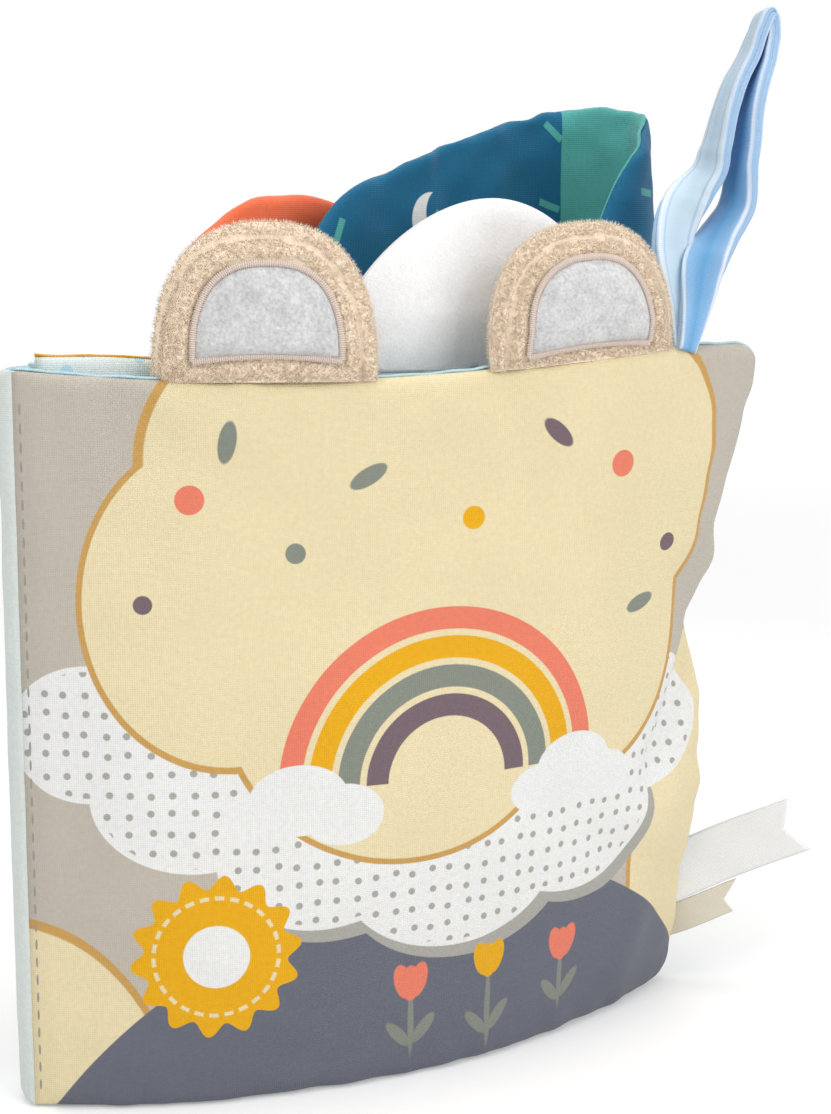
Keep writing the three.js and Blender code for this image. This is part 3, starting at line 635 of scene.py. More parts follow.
def walkPlan(start, angle, bends, distance):
    x, y = start
    heading = radians(angle)
    walked = 0.0
    for first, last, turn in bends:
        if distance <= first:
            break
        straight = first - walked
        x += straight * cos(heading)
        y += straight * sin(heading)
        arc = min(distance, last) - first
        turned = radians(turn) * arc / (last - first)
        radius = arc / turned
        x += radius * (sin(heading + turned) - sin(heading))
        y += radius * (cos(heading) - cos(heading + turned))
        heading += turned
        walked = first + arc
    rest = distance - walked
    return x + rest * cos(heading), y + rest * sin(heading), heading


def panelPoint(panel, s, z, offset):
    share = (z - panel["foot"]) / panel["height"]
    x, y, heading = walkPlan(panel["start"], panel["angle"], panel["bends"](share), s)
    return Vector((x - offset * sin(heading), y + offset * cos(heading), z))


# What all panels share. Thickness grows from a seam by seamRise, and faster near the stitches by
# pinchPower. A crease fades past its ends, and puckers fade away from the sewn edges.
relief = {
    "seamRise": 0.45,
    "pinchPower": 0.8,
    "creaseEnd": 1.6,
    "flatSpan": 0.02,
    "puckerScale": 2.2,
    "puckerPitch": 0.016,
    "puckerReach": 0.010,
    "fineSize": 0.45,
    "fineShare": 0.4,
    "rest": 0.7,
}


def swell(share):
    return max(0.0, 1 - (2 * min(1.0, max(0.0, share)) - 1) ** 4)


def softNoise(s, z, size, seed):
    return noise.noise(Vector((s / size, z / size, seed)))


def rimDistance(panel, s, z):
    # Distance in from the sewn edges of a panel with round fore corners
    across = panel["to"] - s
    slope = (panel["top"](s + 0.0005) - panel["top"](s - 0.0005)) / 0.001
    upright = (panel["top"](s) - z) / sqrt(1 + slope**2)
    if panel.get("footRim", True):
        upright = min(upright, z - panel["foot"])
    corner = panel["corner"]
    if corner and across < corner and upright < corner:
        return corner - hypot(corner - across, corner - upright)
    near = upright if panel.get("bothSeams", False) else min(across, upright)
    if panel.get("nearRim", False):
        near = min(near, s - panel["from"])
    return near


def halfThickness(panel, s, z):
    share = (s - panel["from"]) / (panel["to"] - panel["from"])
    crown = swell(share) * swell((z - panel["foot"]) / panel["height"])
    half = panel["edgeHalf"] + (panel["middleHalf"] - panel["edgeHalf"]) * crown
    edge = max(0.0, min(1.0, rimDistance(panel, s, z) / panel["roll"]))
    half *= sqrt(max(0.0, 1 - (1 - edge) ** 2))
    pinch = panel.get("pinch")
    if pinch:
        place, reach, left = pinch
        half = min(half, left + (half - left) * min(1.0, abs(s - place) / reach) ** relief["pinchPower"])
    seam = panel.get("seamHalf")
    if seam is not None:
        near = s - panel["from"]
        if panel.get("bothSeams", False):
            near = min(near, panel["to"] - s)
        half = min(half, seam + max(0.0, near) * relief["seamRise"])
    return half


def creaseShift(creases, s, z):
    # Soft valleys along short lines, each from, to, width and depth to the left of the plan line
    total = 0.0
    for (s0, z0), (s1, z1), width, depth in creases:
        length = hypot(s1 - s0, z1 - z0)
        along = ((s - s0) * (s1 - s0) + (z - z0) * (z1 - z0)) / length**2
        off = ((s - s0) * (z1 - z0) - (z - z0) * (s1 - s0)) / length
        past = max(0.0, -along, along - 1) * length
        total += depth * exp(-((off / width) ** 2) - (past / (relief["creaseEnd"] * width)) ** 2)
    return total


def midShift(panel, s, z):
    # How far the whole padded sheet leaves its plain curve: broad waves, creases and puckers at the seams
    soft = panel["soft"]
    away = rimDistance(panel, s, z)
    fromSpine = min(1.0, max(0.0, s - panel["from"]) / relief["flatSpan"])
    waves = soft["wave"] * softNoise(s, z, soft["waveSize"], soft["seed"])
    scale = relief["puckerScale"]
    folds = softNoise(s * scale, z * scale, relief["puckerPitch"], soft["seed"] + 7)
    pucker = soft["pucker"] * folds * exp(-away / relief["puckerReach"])
    return (waves + creaseShift(soft["creases"], s, z) + pucker) * fromSpine


def crinkle(panel, s, z, seed):
    # Small facets where the film inside creases the cloth
    soft = panel["soft"]
    ridge = 1 - 2 * abs(softNoise(s, z, soft["crinkleSize"], seed))
    fine = 1 - 2 * abs(softNoise(s, z, soft["crinkleSize"] * relief["fineSize"], seed + 3))
    return soft["crinkle"] * (ridge + relief["fineShare"] * fine - relief["rest"])


def faceHeight(panel, s, z, side):
    # How far a cloth's face stands from the middle of the padded sheet
    half = halfThickness(panel, s, z)
    creased = crinkle(panel, s, z, panel["soft"]["seed"] + side) * min(1.0, half / 0.001)
    return max(0.00003, half + creased)


# Rows of faces stand close together at a sewn edge, and a round corner turns in these steps
seamSteps = [0, 0.0003, 0.0008, 0.0016, 0.0026, 0.004]
cornerTurns = (8, 16, 24, 33, 42, 52, 62, 71, 79, 85, 90)
leastHeight = 0.012


def panelColumns(panel, step):
    # Places along the panel, and how far its edges have come in there
    first = panel["from"]
    last = panel["to"] - panel["corner"]
    clear = seamSteps[-1] + 0.001
    count = max(2, round((last - first) / step))
    columns = [(first + (last - first) * i / count, 0.0) for i in range(count + 1)]
    if panel["corner"]:
        for turned in cornerTurns:
            angle = radians(turned)
            columns.append((last + panel["corner"] * sin(angle), panel["corner"] * (1 - cos(angle))))
    else:
        columns = [c for c in columns if c[0] < last - clear]
        columns += [(last - d, 0.0) for d in reversed(seamSteps)]
    if panel.get("nearRim", False):
        columns = [(first + d, 0.0) for d in seamSteps] + [c for c in columns if c[0] > first + clear]
    return columns


def panelRows(low, high, count, footRim):
    near = [d * min(1.0, (high - low) / leastHeight) for d in seamSteps]
    foot = near if footRim else [d * 1.5 for d in near]
    bottom, top = low + foot[-1], high - near[-1]
    middle = [bottom + (top - bottom) * i / count for i in range(1, count)]
    return [low + d for d in foot] + middle + [high - d for d in reversed(near)]


def panelGrid(panel, step):
    # Distance along and height of each point of a panel's net
    count = max(3, round(panel["height"] / step))
    footRim = panel.get("footRim", True)
    grid = []
    for s, rise in panelColumns(panel, step):
        rows = panelRows(panel["foot"] + rise, panel["top"](s) - rise, count, footRim)
        grid.append([(s, z) for z in rows])
    return grid


def startGrid(name, across, up, material):
    bpy.ops.object.select_all(action="DESELECT")
    bpy.ops.mesh.primitive_grid_add(x_subdivisions=across, y_subdivisions=up, size=1)
    piece = bpy.context.object
    piece.name = piece.data.name = name
    piece.data.uv_layers[0].name = "cloth"
    piece.data.materials.append(material)
    return piece


def layGrid(piece, across, up, place, measure):
    # Moves the grid's points to their places and gives the cloth its own measure
    mesh = piece.data
    keys = []
    for vertex in mesh.vertices:
        i = round((vertex.co.x + 0.5) * across)
        j = round((vertex.co.y + 0.5) * up)
        keys.append((i, j))
    for vertex, (i, j) in zip(mesh.vertices, keys):
        vertex.co = place(i, j)
    layer = mesh.uv_layers["cloth"].data
    for loop in mesh.loops:
        layer[loop.index].uv = measure(*keys[loop.vertex_index])
    mesh.update()


def selectOnly(piece):
    bpy.ops.object.select_all(action="DESELECT")
    piece.select_set(True)
    bpy.context.view_layer.objects.active = piece


def mergePoints(piece, gap, closeEnds=False):
    selectOnly(piece)
    bpy.ops.object.mode_set(mode="EDIT")
    bpy.ops.mesh.select_all(action="SELECT")
    bpy.ops.mesh.remove_doubles(threshold=gap)
    if closeEnds:
        bpy.ops.mesh.fill_holes(sides=0)
        bpy.ops.mesh.normals_make_consistent(inside=False)
    bpy.ops.object.mode_set(mode="OBJECT")


def applyModifier(piece, kind, **settings):
    selectOnly(piece)
    modifier = piece.modifiers.new(kind.lower(), kind)
    for key, value in settings.items():
        setattr(modifier, key, value)
    bpy.ops.object.modifier_apply(modifier=modifier.name)


def smoothFaces(piece):
    piece.data.polygons.foreach_set("use_smooth", [True] * len(piece.data.polygons))
    piece.data.update()


def turnFaces(piece, direction):
    # Faces point the way that direction says at the middle of the sheet
    mesh = piece.data
    total = sum((p.normal * p.area for p in mesh.polygons), Vector())
    if total.dot(direction) < 0:
        mesh.flip_normals()


def leftOf(panel, middle):
    # The way that a panel's left face looks
    return panelPoint(panel, *middle, 1) - panelPoint(panel, *middle, 0)


def panelSheet(name, panel, side, material, step=0.0019, cloth=0.0005):
    # One cloth of a padded panel: side 1 is left of the plan line and -1 is right of it
    grid = panelGrid(panel, step)
    across, up = len(grid) - 1, len(grid[0]) - 1
    piece = startGrid(name, across, up, material)

    def place(i, j):
        s, z = grid[i][j]
        return panelPoint(panel, s, z, midShift(panel, s, z) + side * faceHeight(panel, s, z, side))

    layGrid(piece, across, up, place, lambda i, j: grid[i][j])
    turnFaces(piece, side * leftOf(panel, grid[across // 2][up // 2]))
    applyModifier(piece, "SOLIDIFY", thickness=cloth, offset=-1, use_even_offset=False)
    smoothFaces(piece)
    return piece


inside = {"inset": 0.0022, "clear": 0.0008, "thinnest": 0.0001}


def panelCore(name, panel, low, high, material, step=0.003):
    # A layer inside a panel, between two shares of its thickness from -1, the right face, to 1, the left face
    inset = inside["inset"]
    inner = {
        **panel,
        "from": panel["from"] + inset,
        "to": panel["to"] - inset,
        "corner": max(0.0, panel["corner"] - inset),
        "foot": panel["foot"] + inset,
        "height": panel["height"] - 2 * inset,
        "top": lambda s: panel["top"](s) - inset,
        "footRim": True,
    }
    grid = panelGrid(inner, step)
    across, up = len(grid) - 1, len(grid[0]) - 1
    piece = startGrid(name, across, up, material)
    middle = grid[across // 2][up // 2]
    half = halfThickness(panel, *middle) - inside["clear"]
    fullness = []

    def place(i, j):
        s, z = grid[i][j]
        room = max(inside["thinnest"], halfThickness(panel, s, z) - inside["clear"])
        fullness.append(min(1.0, room / half))
        return panelPoint(panel, s, z, midShift(panel, s, z) + room * low)

    layGrid(piece, across, up, place, lambda i, j: grid[i][j])
    turnFaces(piece, leftOf(panel, middle))
    # Thinner where the panel is thinner
    group = piece.vertex_groups.new(name="fullness")
    for index, share in enumerate(fullness):
        group.add([index], share, "REPLACE")
    thickness = max(2 * inside["thinnest"], half * (high - low))
    applyModifier(piece, "SOLIDIFY", thickness=thickness, offset=1, vertex_group="fullness")
    piece.vertex_groups.clear()
    smoothFaces(piece)
    return piece


def finishPiece(piece, replaced, hinge=None, rideOn=None):
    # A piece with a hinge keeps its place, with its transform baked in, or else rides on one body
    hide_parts(replaced)
    if hinge:
        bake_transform(piece)
    else:
        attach(piece, rideOn)


# How far before and beyond its hinge line each kind of piece's hinge reaches
hingeSpans = {
    "cover": (0.0002, 0.0045),
    "leaf": (0.0022, 0.004),
    "flap": (0.001, 0.003),
    "tab": (0.001, 0.004),
    "strap": (0.001, 0.006),
    "tag": (0.0005, 0.004),
}


def hingeAlong(panel, first, second, kind):
    # The hinge of a panel from its first body to its second, along the cloth beside its first edge
    before, after = hingeSpans[kind]
    way = Vector((cos(radians(panel["angle"])), sin(radians(panel["angle"])), 0))
    edge = Vector((*panel["start"], 0))
    return first, second, edge - before * way, edge + after * way


def hingeUp(foot, first, second, kind, upward=Vector((0, 0, 1))):
    # A tab's hinge at its seam
    before, after = hingeSpans[kind]
    return first, second, foot - before * upward, foot + after * upward


# Covers

# A panel is straight beside its seam and bends from here on
straightFirst = 0.012
cover = {
    "width": 0.176,
    "height": 0.161,
    "corner": 0.007,
    "edgeHalf": 0.0019,
    "middleHalf": 0.0032,
    "topSag": 0.0038,
    "topForeRise": 0.0032,
    "topDipLength": 0.150,
    "turn": 53.5,
    "backTurn": 6,
    "backAngle": 48,
    "flare": 14,
    "flareStart": 0.6,
    "curl": 8,
    "curlEnd": 0.32,
    "hingeX": 0.003,
    "hingeY": 0.009,
    "liningProud": 0.0007,
    "waddingSpan": (0.6, -0.9),
    "filmSpan": (0.72, 0.86),
}


def coverTop(s):
    share = rampTo(s, 0, cover["topDipLength"])
    rise = cover["topForeRise"] * share * share * (3 - 2 * share)
    return cover["height"] + rise - cover["topSag"] * sin(pi * share)


def coverTurn(share):
    # The cover turns less towards its top edge and more towards its foot
    flared = cover["flare"] * rampTo(share, cover["flareStart"], 1) ** 1.25
    curled = cover["curl"] * rampTo(share, cover["curlEnd"], 0) ** 1.15
    return cover["turn"] + curled - flared


frontPanel = {
    "start": (cover["hingeX"], -cover["hingeY"]),
    "angle": 0,
    "bends": lambda share: [(straightFirst, cover["width"], coverTurn(share))],
    "foot": 0.0,
    "height": cover["height"],
    "top": coverTop,
    "from": -0.0003,
    "to": cover["width"],
    "corner": cover["corner"],
    "edgeHalf": cover["edgeHalf"],
    "middleHalf": cover["middleHalf"],
    "roll": 0.0034,
    "pinch": (0.0014, 0.003, 0.0009),  # place, reach and half thickness under the stitches
    "seamHalf": 0.0007,
    "soft": {
        "seed": 11,
        "wave": 0.0017,
        "waveSize": 0.052,
        "pucker": 0.0011,
        "crinkle": 0.00016,
        "crinkleSize": 0.019,
        # Each from and to in metres along and up the cover, its width and its depth
        "creases": [
            ((0.178, 0.099), (0.158, 0.066), 0.0055, 0.0042),
            ((0.178, 0.108), (0.160, 0.118), 0.007, -0.0016),
            ((0.170, 0.030), (0.140, 0.046), 0.008, 0.0014),
            ((0.020, 0.150), (0.052, 0.134), 0.007, 0.0010),
            ((0.104, 0.160), (0.110, 0.136), 0.006, 0.0012),
            ((0.150, 0.012), (0.158, 0.040), 0.006, -0.0012),
            ((0.060, 0.010), (0.070, 0.030), 0.008, 0.0009),
        ],
    },
}
backPanel = {
    **frontPanel,
    "start": (cover["hingeX"], cover["hingeY"]),
    "angle": cover["backAngle"],
    "bends": lambda share: [(straightFirst, cover["width"], cover["backTurn"])],
    "top": lambda s: cover["height"],
    "soft": {
        "seed": 31,
        "wave": 0.0018,
        "waveSize": 0.056,
        "pucker": 0.0011,
        "crinkle": 0.00016,
        "crinkleSize": 0.019,
        "creases": [
            ((0.178, 0.060), (0.150, 0.074), 0.007, 0.0014),
            ((0.060, 0.163), (0.066, 0.132), 0.008, -0.0012),
            ((0.120, 0.000), (0.128, 0.030), 0.008, 0.0012),
        ],
    },
}


def reachOut(panel, proud, size, seed):
    # A cloth that peeks out of the top seam, more in some places than in others
    return {**panel, "top": lambda s: panel["top"](s) + proud * (0.8 + 0.9 * softNoise(s, 0, size, seed))}


def addCover(prefix, panel, outward, printed):
    # Layers from the outside in: printed cloth, crinkle film, wadding and lining
    peeking = reachOut(panel, cover["liningProud"], 0.007, 19)
    outer = panelSheet(prefix + "CoverPrint", panel, outward, printed)
    lining = panelSheet(prefix + "CoverLining", peeking, -outward, materials["lining"], step=0.0023)
    padding = sorted(share * outward for share in cover["waddingSpan"])
    wadding = panelCore(prefix + "CoverWadding", panel, *padding, materials["wadding"])
    crackling = sorted(share * outward for share in cover["filmSpan"])
    film = panelCore(prefix + "CoverFilm", panel, *crackling, materials["film"])
    hinge = hingeAlong(panel, "spine", prefix + "_cover", "cover")
    finishPiece(outer, prefix + "_cover_outer", hinge)
    finishPiece(lining, prefix + "_cover_lining", hinge)
    finishPiece(wadding, prefix + "_wadding", hinge)
    finishPiece(film, prefix + "_crinkle_film", hinge)
    addTopstitch(prefix, panel, outward, hinge)


stitch = {
    "place": 0.0014,
    "length": 0.0024,
    "gap": 0.0016,
    "radius": 0.00024,
    "flatness": 0.8,
    "proud": 0.00014,
    "margin": 0.003,
}


def addTopstitch(prefix, panel, outward, hinge):
    # Running stitches beside the spine, each dipping into the cloth at its ends
    bpy.ops.object.select_all(action="DESELECT")
    bpy.ops.mesh.primitive_uv_sphere_add(segments=8, ring_count=6, radius=1)
    model = bpy.context.object
    s = stitch["place"]
    pitch = stitch["length"] + stitch["gap"]
    count = int((panel["top"](s) - 2 * stitch["margin"]) / pitch)
    radius = stitch["radius"]
    size = Matrix.Diagonal((radius, radius * stitch["flatness"], stitch["length"] / 2, 1))
    places = []
    for i in range(count):
        z = stitch["margin"] + pitch * (i + 0.5)
        proud = faceHeight(panel, s, z, outward) + stitch["proud"]
        centre = panelPoint(panel, s, z, midShift(panel, s, z) + outward * proud)
        places.append(Matrix.Translation(centre) @ size)
    piece = repeatShape(prefix + "Topstitch", model, places, materials["greyThread"])
    finishPiece(piece, prefix + "_topstitch", hinge)


def repeatShape(name, model, places, material):
    # Copies of one small shape, joined as one piece
    source = model.data
    points = np.array([v.co for v in source.vertices])
    faces = [list(p.vertices) for p in source.polygons]
    allPoints = []
    allFaces = []
    for k, place in enumerate(places):
        turn = np.array(place.to_3x3())
        allPoints.append(points @ turn.T + np.array(place.translation))
        allFaces += [[v + k * len(points) for v in face] for face in faces]
    mesh = bpy.data.meshes.new(name)
    mesh.from_pydata(np.concatenate(allPoints).tolist(), [], allFaces)
    bpy.data.objects.remove(model)
    piece = bpy.data.objects.new(name, mesh)
    bpy.context.collection.objects.link(piece)
    mesh.materials.append(material)
    smoothFaces(piece)
    return piece


addCover("front", frontPanel, -1, materials["cover"])
addCover("back", backPanel, 1, materials["back"])
print("covers made")

# Spine: a padded strip that bulges outwards between the two hinge edges

spine = {"width": 0.018, "bulge": 0.003, "clothWidth": 0.0225, "overlap": 0.0006}
spineRadius = (spine["width"] ** 2 / 4 + spine["bulge"] ** 2) / (2 * spine["bulge"])
spineHalfTurn = degrees(asin(spine["width"] / 2 / spineRadius))
spineLength = 2 * spineRadius * radians(spineHalfTurn)
spinePanel = {
    "start": (cover["hingeX"], -cover["hingeY"]),
    "angle": 90 + spineHalfTurn,
    "bends": lambda share: [(0, spineLength, -2 * spineHalfTurn)],
    "foot": 0.0,
    "height": cover["height"],
    "top": lambda s: cover["height"],
    "from": -spine["overlap"],
    "to": spineLength + spine["overlap"],
    "corner": 0.0,
    "edgeHalf": 0.0019,
    "middleHalf": 0.0021,
    "roll": 0.003,
    "seamHalf": 0.0007,
    "bothSeams": True,
    "soft": {
        "seed": 51,
        "wave": 0.0004,
        "waveSize": 0.03,
        "pucker": 0.0006,
        "crinkle": 0.0001,
        "crinkleSize": 0.02,
        "creases": [],
    },
}
spineCloth = panelSheet("spineCloth", spinePanel, 1, materials["spine"], step=0.0014)
spineLining = panelSheet("spineLining", spinePanel, -1, materials["lining"], step=0.002)
spineWadding = panelCore("spineWadding", spinePanel, -0.85, 0.85, materials["wadding"], step=0.004)
# The outer cloth lies outside the padding and the lining inside it
finishPiece(spineCloth, "spine_outer", rideOn="spine")
finishPiece(spineLining, "spine_lining", rideOn="spine")
finishPiece(spineWadding, "spine_wadding", rideOn="spine")

gutter = {
    "span": 0.0119,
    "near": 0.0052,
    "ridge": 0.0014,
    "spacing": 0.005,
    "height": 0.1596,
    "thickness": 0.0012,
    "flatWidth": 0.0165,
}


def addGutter():
    # The seam allowances of the leaves, pressed together in three ridges inside the spine
    across, up = 48, 60
    piece = startGrid("gutterSeam", across, up, materials["lining"])

    def place(i, j):
        y = gutter["span"] * (i / across - 0.5)
        z = gutter["height"] * j / up + 0.0002
        ridge = gutter["ridge"] * (0.5 + 0.5 * cos(2 * pi * y / gutter["spacing"])) ** 0.6
        return Vector((gutter["near"] + ridge + 0.0002 * softNoise(y, z, 0.008, 3), y, z))

    layGrid(piece, across, up, place, lambda i, j: (i * gutter["span"] / across, j * gutter["height"] / up))
    turnFaces(piece, Vector((1, 0, 0)))
    applyModifier(piece, "SOLIDIFY", thickness=gutter["thickness"], offset=-1)
    smoothFaces(piece)
    finishPiece(piece, "gutter_seam", rideOn="spine")


addGutter()
print("spine made")

# Leaves

leaf = {
    "width": 0.168,
    "height": 0.160,
    "corner": 0.007,
    "gutterX": 0.0095,
    "gutterSpacing": 0.005,
    "reachIn": -0.0026,
    "proud": 0.0006,
    "pushedUp": 0.0036,
    "pushedSpan": (0.055, 0.008),
    "mintTurn": 50,
    "mintCurl": 5,
    "mintCurlEnd": 0.3,
    "mintFlare": 12,
    "blueTurn": 19,
    "coralTurn": 8,
    "waddingShare": 0.8,
    "filmShare": 0.15,
}
leafShape = {
    "foot": 0.0,
    "height": leaf["height"],
    "top": lambda s: leaf["height"],
    "from": leaf["reachIn"],
    "to": leaf["width"],
    "corner": leaf["corner"],
    "edgeHalf": 0.0013,
    "middleHalf": 0.0020,
    "roll": 0.0022,
    "seamHalf": 0.0005,
}


def leafSoft(seed, wave=0.0012, creases=()):
    return {
        "seed": seed,
        "wave": wave,
        "waveSize": 0.05,
        "pucker": 0.0010,
        "crinkle": 0.00013,
        "crinkleSize": 0.017,
        "creases": list(creases),
    }


def mintTurn(share):
    # It bends more at its foot and less towards its top
    curled = leaf["mintCurl"] * rampTo(share, leaf["mintCurlEnd"], 0)
    return leaf["mintTurn"] + curled - leaf["mintFlare"] * max(0.0, share) ** 3


def mintTop(s):
    # The wadding pushes the leaf's top up near the spine
    share = rampTo(s, *leaf["pushedSpan"])
    return leaf["height"] + leaf["pushedUp"] * share * share * (3 - 2 * share)


mintPanel = {
    **leafShape,
    "top": mintTop,
    "start": (leaf["gutterX"], -leaf["gutterSpacing"]),
    "angle": 8,
    "bends": lambda share: [(straightFirst, leaf["width"], mintTurn(share))],
    "soft": leafSoft(61),
}
blueBends = [(straightFirst, leaf["width"] / 2, leaf["blueTurn"])]
bluePanel = {
    **leafShape,
    "start": (leaf["gutterX"], 0.0),
    "angle": 23,
    "bends": lambda share: blueBends,
    "soft": leafSoft(71),
}
coralBends = [(straightFirst, leaf["width"], leaf["coralTurn"])]
coralPanel = {
    **leafShape,
    "start": (leaf["gutterX"], leaf["gutterSpacing"]),
    "angle": 36,
    "bends": lambda share: coralBends,
    "soft": leafSoft(81),
}


def addLeaf(prefix, panel, front, back, core):
    name = prefix.replace("_leaf", "Leaf")
    padded = core == "wadding"
    peeking = reachOut(panel, leaf["proud"], 0.009, 31)
    frontCloth = panelSheet(name + "Front", panel, -1, materials[front], step=0.0023, cloth=0.0004)
    backCloth = panelSheet(name + "Back", peeking, 1, materials[back], step=0.0023, cloth=0.0004)
    share = leaf["waddingShare"] if padded else leaf["filmShare"]
    middle = panelCore(name + core.capitalize(), panel, -share, share, materials[core])
    hinge = hingeAlong(panel, "spine", prefix, "leaf")
    finishPiece(frontCloth, prefix + "_front", hinge)
    finishPiece(backCloth, prefix + "_back", hinge)
    finishPiece(middle, prefix + "_" + core, hinge)


addLeaf("mint_leaf", mintPanel, "mint", "mustard", "wadding")
addLeaf("blue_leaf", bluePanel, "blue", "teal", "film")
addLeaf("coral_leaf", coralPanel, "coral", "mustard", "wadding")
print("leaves made")

# Flaps: tall shaped cloths sewn in the top seams of two leaves

flapSeam = 0.1603
flapTuck = 0.0008
flapShape = {
    "foot": flapSeam - flapTuck,
    "corner": 0.0,
    "edgeHalf": 0.0012,
    "middleHalf": 0.0015,
    "roll": 0.0020,
    "nearRim": True,
    "footRim": False,
}
blueFlap = {
    "from": 0.054,
    "peak": 0.140,
    "to": 0.192,
    "height": 0.059,
    "slope": 0.0275,
    "round": 0.024,
    "foreDrop": 0.028,
    "curlFrom": 0.128,
    "curl": (195, 30),
    "proud": 0.0006,
    "flat": (0.138, 0.057),
    "area": 0.0068,
}
coralFlap = {
    "middle": 0.061,
    "halfWidth": 0.038,
    "height": 0.0375,
    "trim": 0.003,
    "flat": (0.072, 0.039),
    "area": 0.0023,
}


def blueFlapTop(s):
    # It slopes up from a rounded corner to its peak, then drops at its curled end
    clamped = min(blueFlap["to"], max(blueFlap["from"], s))
    before = rampTo(clamped, blueFlap["peak"], blueFlap["from"])
    after = rampTo(clamped, blueFlap["peak"], blueFlap["to"])
    cornerFoot = blueFlap["from"] - coralFlap["trim"]
    fromCorner = rampTo(clamped, cornerFoot + blueFlap["round"], cornerFoot)
    full = blueFlap["height"] - blueFlap["slope"] * before**1.3
    scallop = 0.0008 * softNoise(clamped, 0, 0.011, 91) + 0.0005 * softNoise(clamped, 0, 0.005, 92)
    return flapSeam + full * sqrt(1 - fromCorner**2) - blueFlap["foreDrop"] * after**3 + scallop


def blueCurl(share):
    # The flap's end curls forward, tighter at its top
    turn, more = blueFlap["curl"]
    return -(turn + more * share)


def coralFlapTop(s):
    share = min(1.0, abs(s - coralFlap["middle"]) / coralFlap["halfWidth"])
    return flapSeam + coralFlap["height"] * sqrt(1 - share**2) + 0.0006 * softNoise(s, 0, 0.009, 95)


blueFlapPanel = {
    **flapShape,
    "start": bluePanel["start"],
    "angle": bluePanel["angle"],
    "bends": lambda share: blueBends + [(blueFlap["curlFrom"], blueFlap["to"], blueCurl(share))],
    "height": blueFlap["height"] + flapTuck,
    "top": blueFlapTop,
    "from": blueFlap["from"],
    "to": blueFlap["to"],
    "soft": {
        "seed": 101,
        "wave": 0.0016,
        "waveSize": 0.026,
        "pucker": 0.0016,
        "crinkle": 0.0002,
        "crinkleSize": 0.014,
        "creases": [
            ((0.098, 0.216), (0.103, 0.196), 0.0045, 0.0014),
            ((0.113, 0.218), (0.116, 0.200), 0.004, -0.0012),
            ((0.080, 0.205), (0.090, 0.180), 0.005, 0.0011),
            ((0.150, 0.214), (0.156, 0.190), 0.005, -0.0012),
        ],
    },
}
coralFlapPanel = {
    **flapShape,
    "start": coralPanel["start"],
    "angle": coralPanel["angle"],
    "bends": lambda share: coralBends,
    "height": coralFlap["height"],
    "top": coralFlapTop,
    "from": coralFlap["middle"] - coralFlap["halfWidth"] + coralFlap["trim"],
    "to": coralFlap["middle"] + coralFlap["halfWidth"] - coralFlap["trim"],
    "soft": {
        "seed": 111,
        "wave": 0.0012,
        "waveSize": 0.022,
        "pucker": 0.0012,
        "crinkle": 0.00015,
        "crinkleSize": 0.014,
        "creases": [((0.060, 0.198), (0.066, 0.182), 0.004, 0.0010)],
    },
}


def addFlap(colour, panel, backMaterial, film):
    node = colour + "_flap"
    name = colour + "Flap"
    peeking = reachOut(panel, blueFlap["proud"], 0.02, 23)
    frontCloth = panelSheet(name + "Front", peeking, -1, materials[colour], step=0.0017, cloth=0.0004)
    backCloth = panelSheet(name + "Back", panel, 1, materials[backMaterial], step=0.0017, cloth=0.0004)
    hinge = hingeUp(Vector((0, 0, flapSeam)), colour + "_leaf", node, "flap")
    for piece, face in ((frontCloth, "_front"), (backCloth, "_back")):
        finishPiece(piece, node + face, hinge)
    if film:
        middle = panelCore(name + "Film", panel, -0.12, 0.12, materials["film"])
        finishPiece(middle, node + "_film", hinge)


addFlap("blue", blueFlapPanel, "blueBack", True)
addFlap("coral", coralFlapPanel, "coral", False)
print("flaps made")


# Tabs: D-shaped soft pieces that stand on a seam


def seamFrame(panel, along, halfSpan, gap, height, settle=0):
    # Stands on a top seam, X along it and -Y outwards, and also gives how far the curved seam bows.
    # Settle moves it from the middle of the seam towards the straight line between its ends.
    before = panelPoint(panel, along - halfSpan, height, 0)
    after = panelPoint(panel, along + halfSpan, height, 0)
    lowEnd = panel["top"](along - halfSpan)
    highEnd = panel["top"](along + halfSpan)
    middle = panelPoint(panel, along, height, 0)
    across = hypot(after.x - before.x, after.y - before.y)
    seamHigh = max((lowEnd + highEnd) / 2, panel["top"](along))
    heading = atan2(after.y - before.y, after.x - before.x)
    tilt = -atan2(highEnd - lowEnd, across)
    turn = Matrix.Rotation(heading, 4, "Z") @ Matrix.Rotation(tilt, 4, "Y")
    chord = (before + after) / 2
    place = middle.lerp(chord, settle)
    bow = hypot(chord.x - middle.x, chord.y - middle.y)
    return Matrix.Translation((place.x, place.y, seamHigh + gap)) @ turn, bow


def roundedPlace(shape, share, angle):
    # A place on a D-shaped tab, whose foot may arch upwards
    c, s = cos(angle), max(0.0, sin(angle))
    power = shape["power"]
    x = shape["halfWidth"] * share * (1 if c >= 0 else -1) * abs(c) ** (2 / power)
    up = share * s ** (2 / power)
    arch = shape.get("arch", 0) * (1 - (x / shape["halfWidth"]) ** 2) * (1 - up)
    x += shape.get("lean", 0) * up
    return x, shape.get("base", 0) + shape["height"] * up + arch


straighten = 0.6


def seamBow(tab, x, z):
    # A tab follows its curved seam at its foot, and less so higher up
    higher = 1 - straighten * z / tab["height"]
    return tab["bow"] * ((x / tab["halfWidth"]) ** 2 - tab["settle"]) * higher


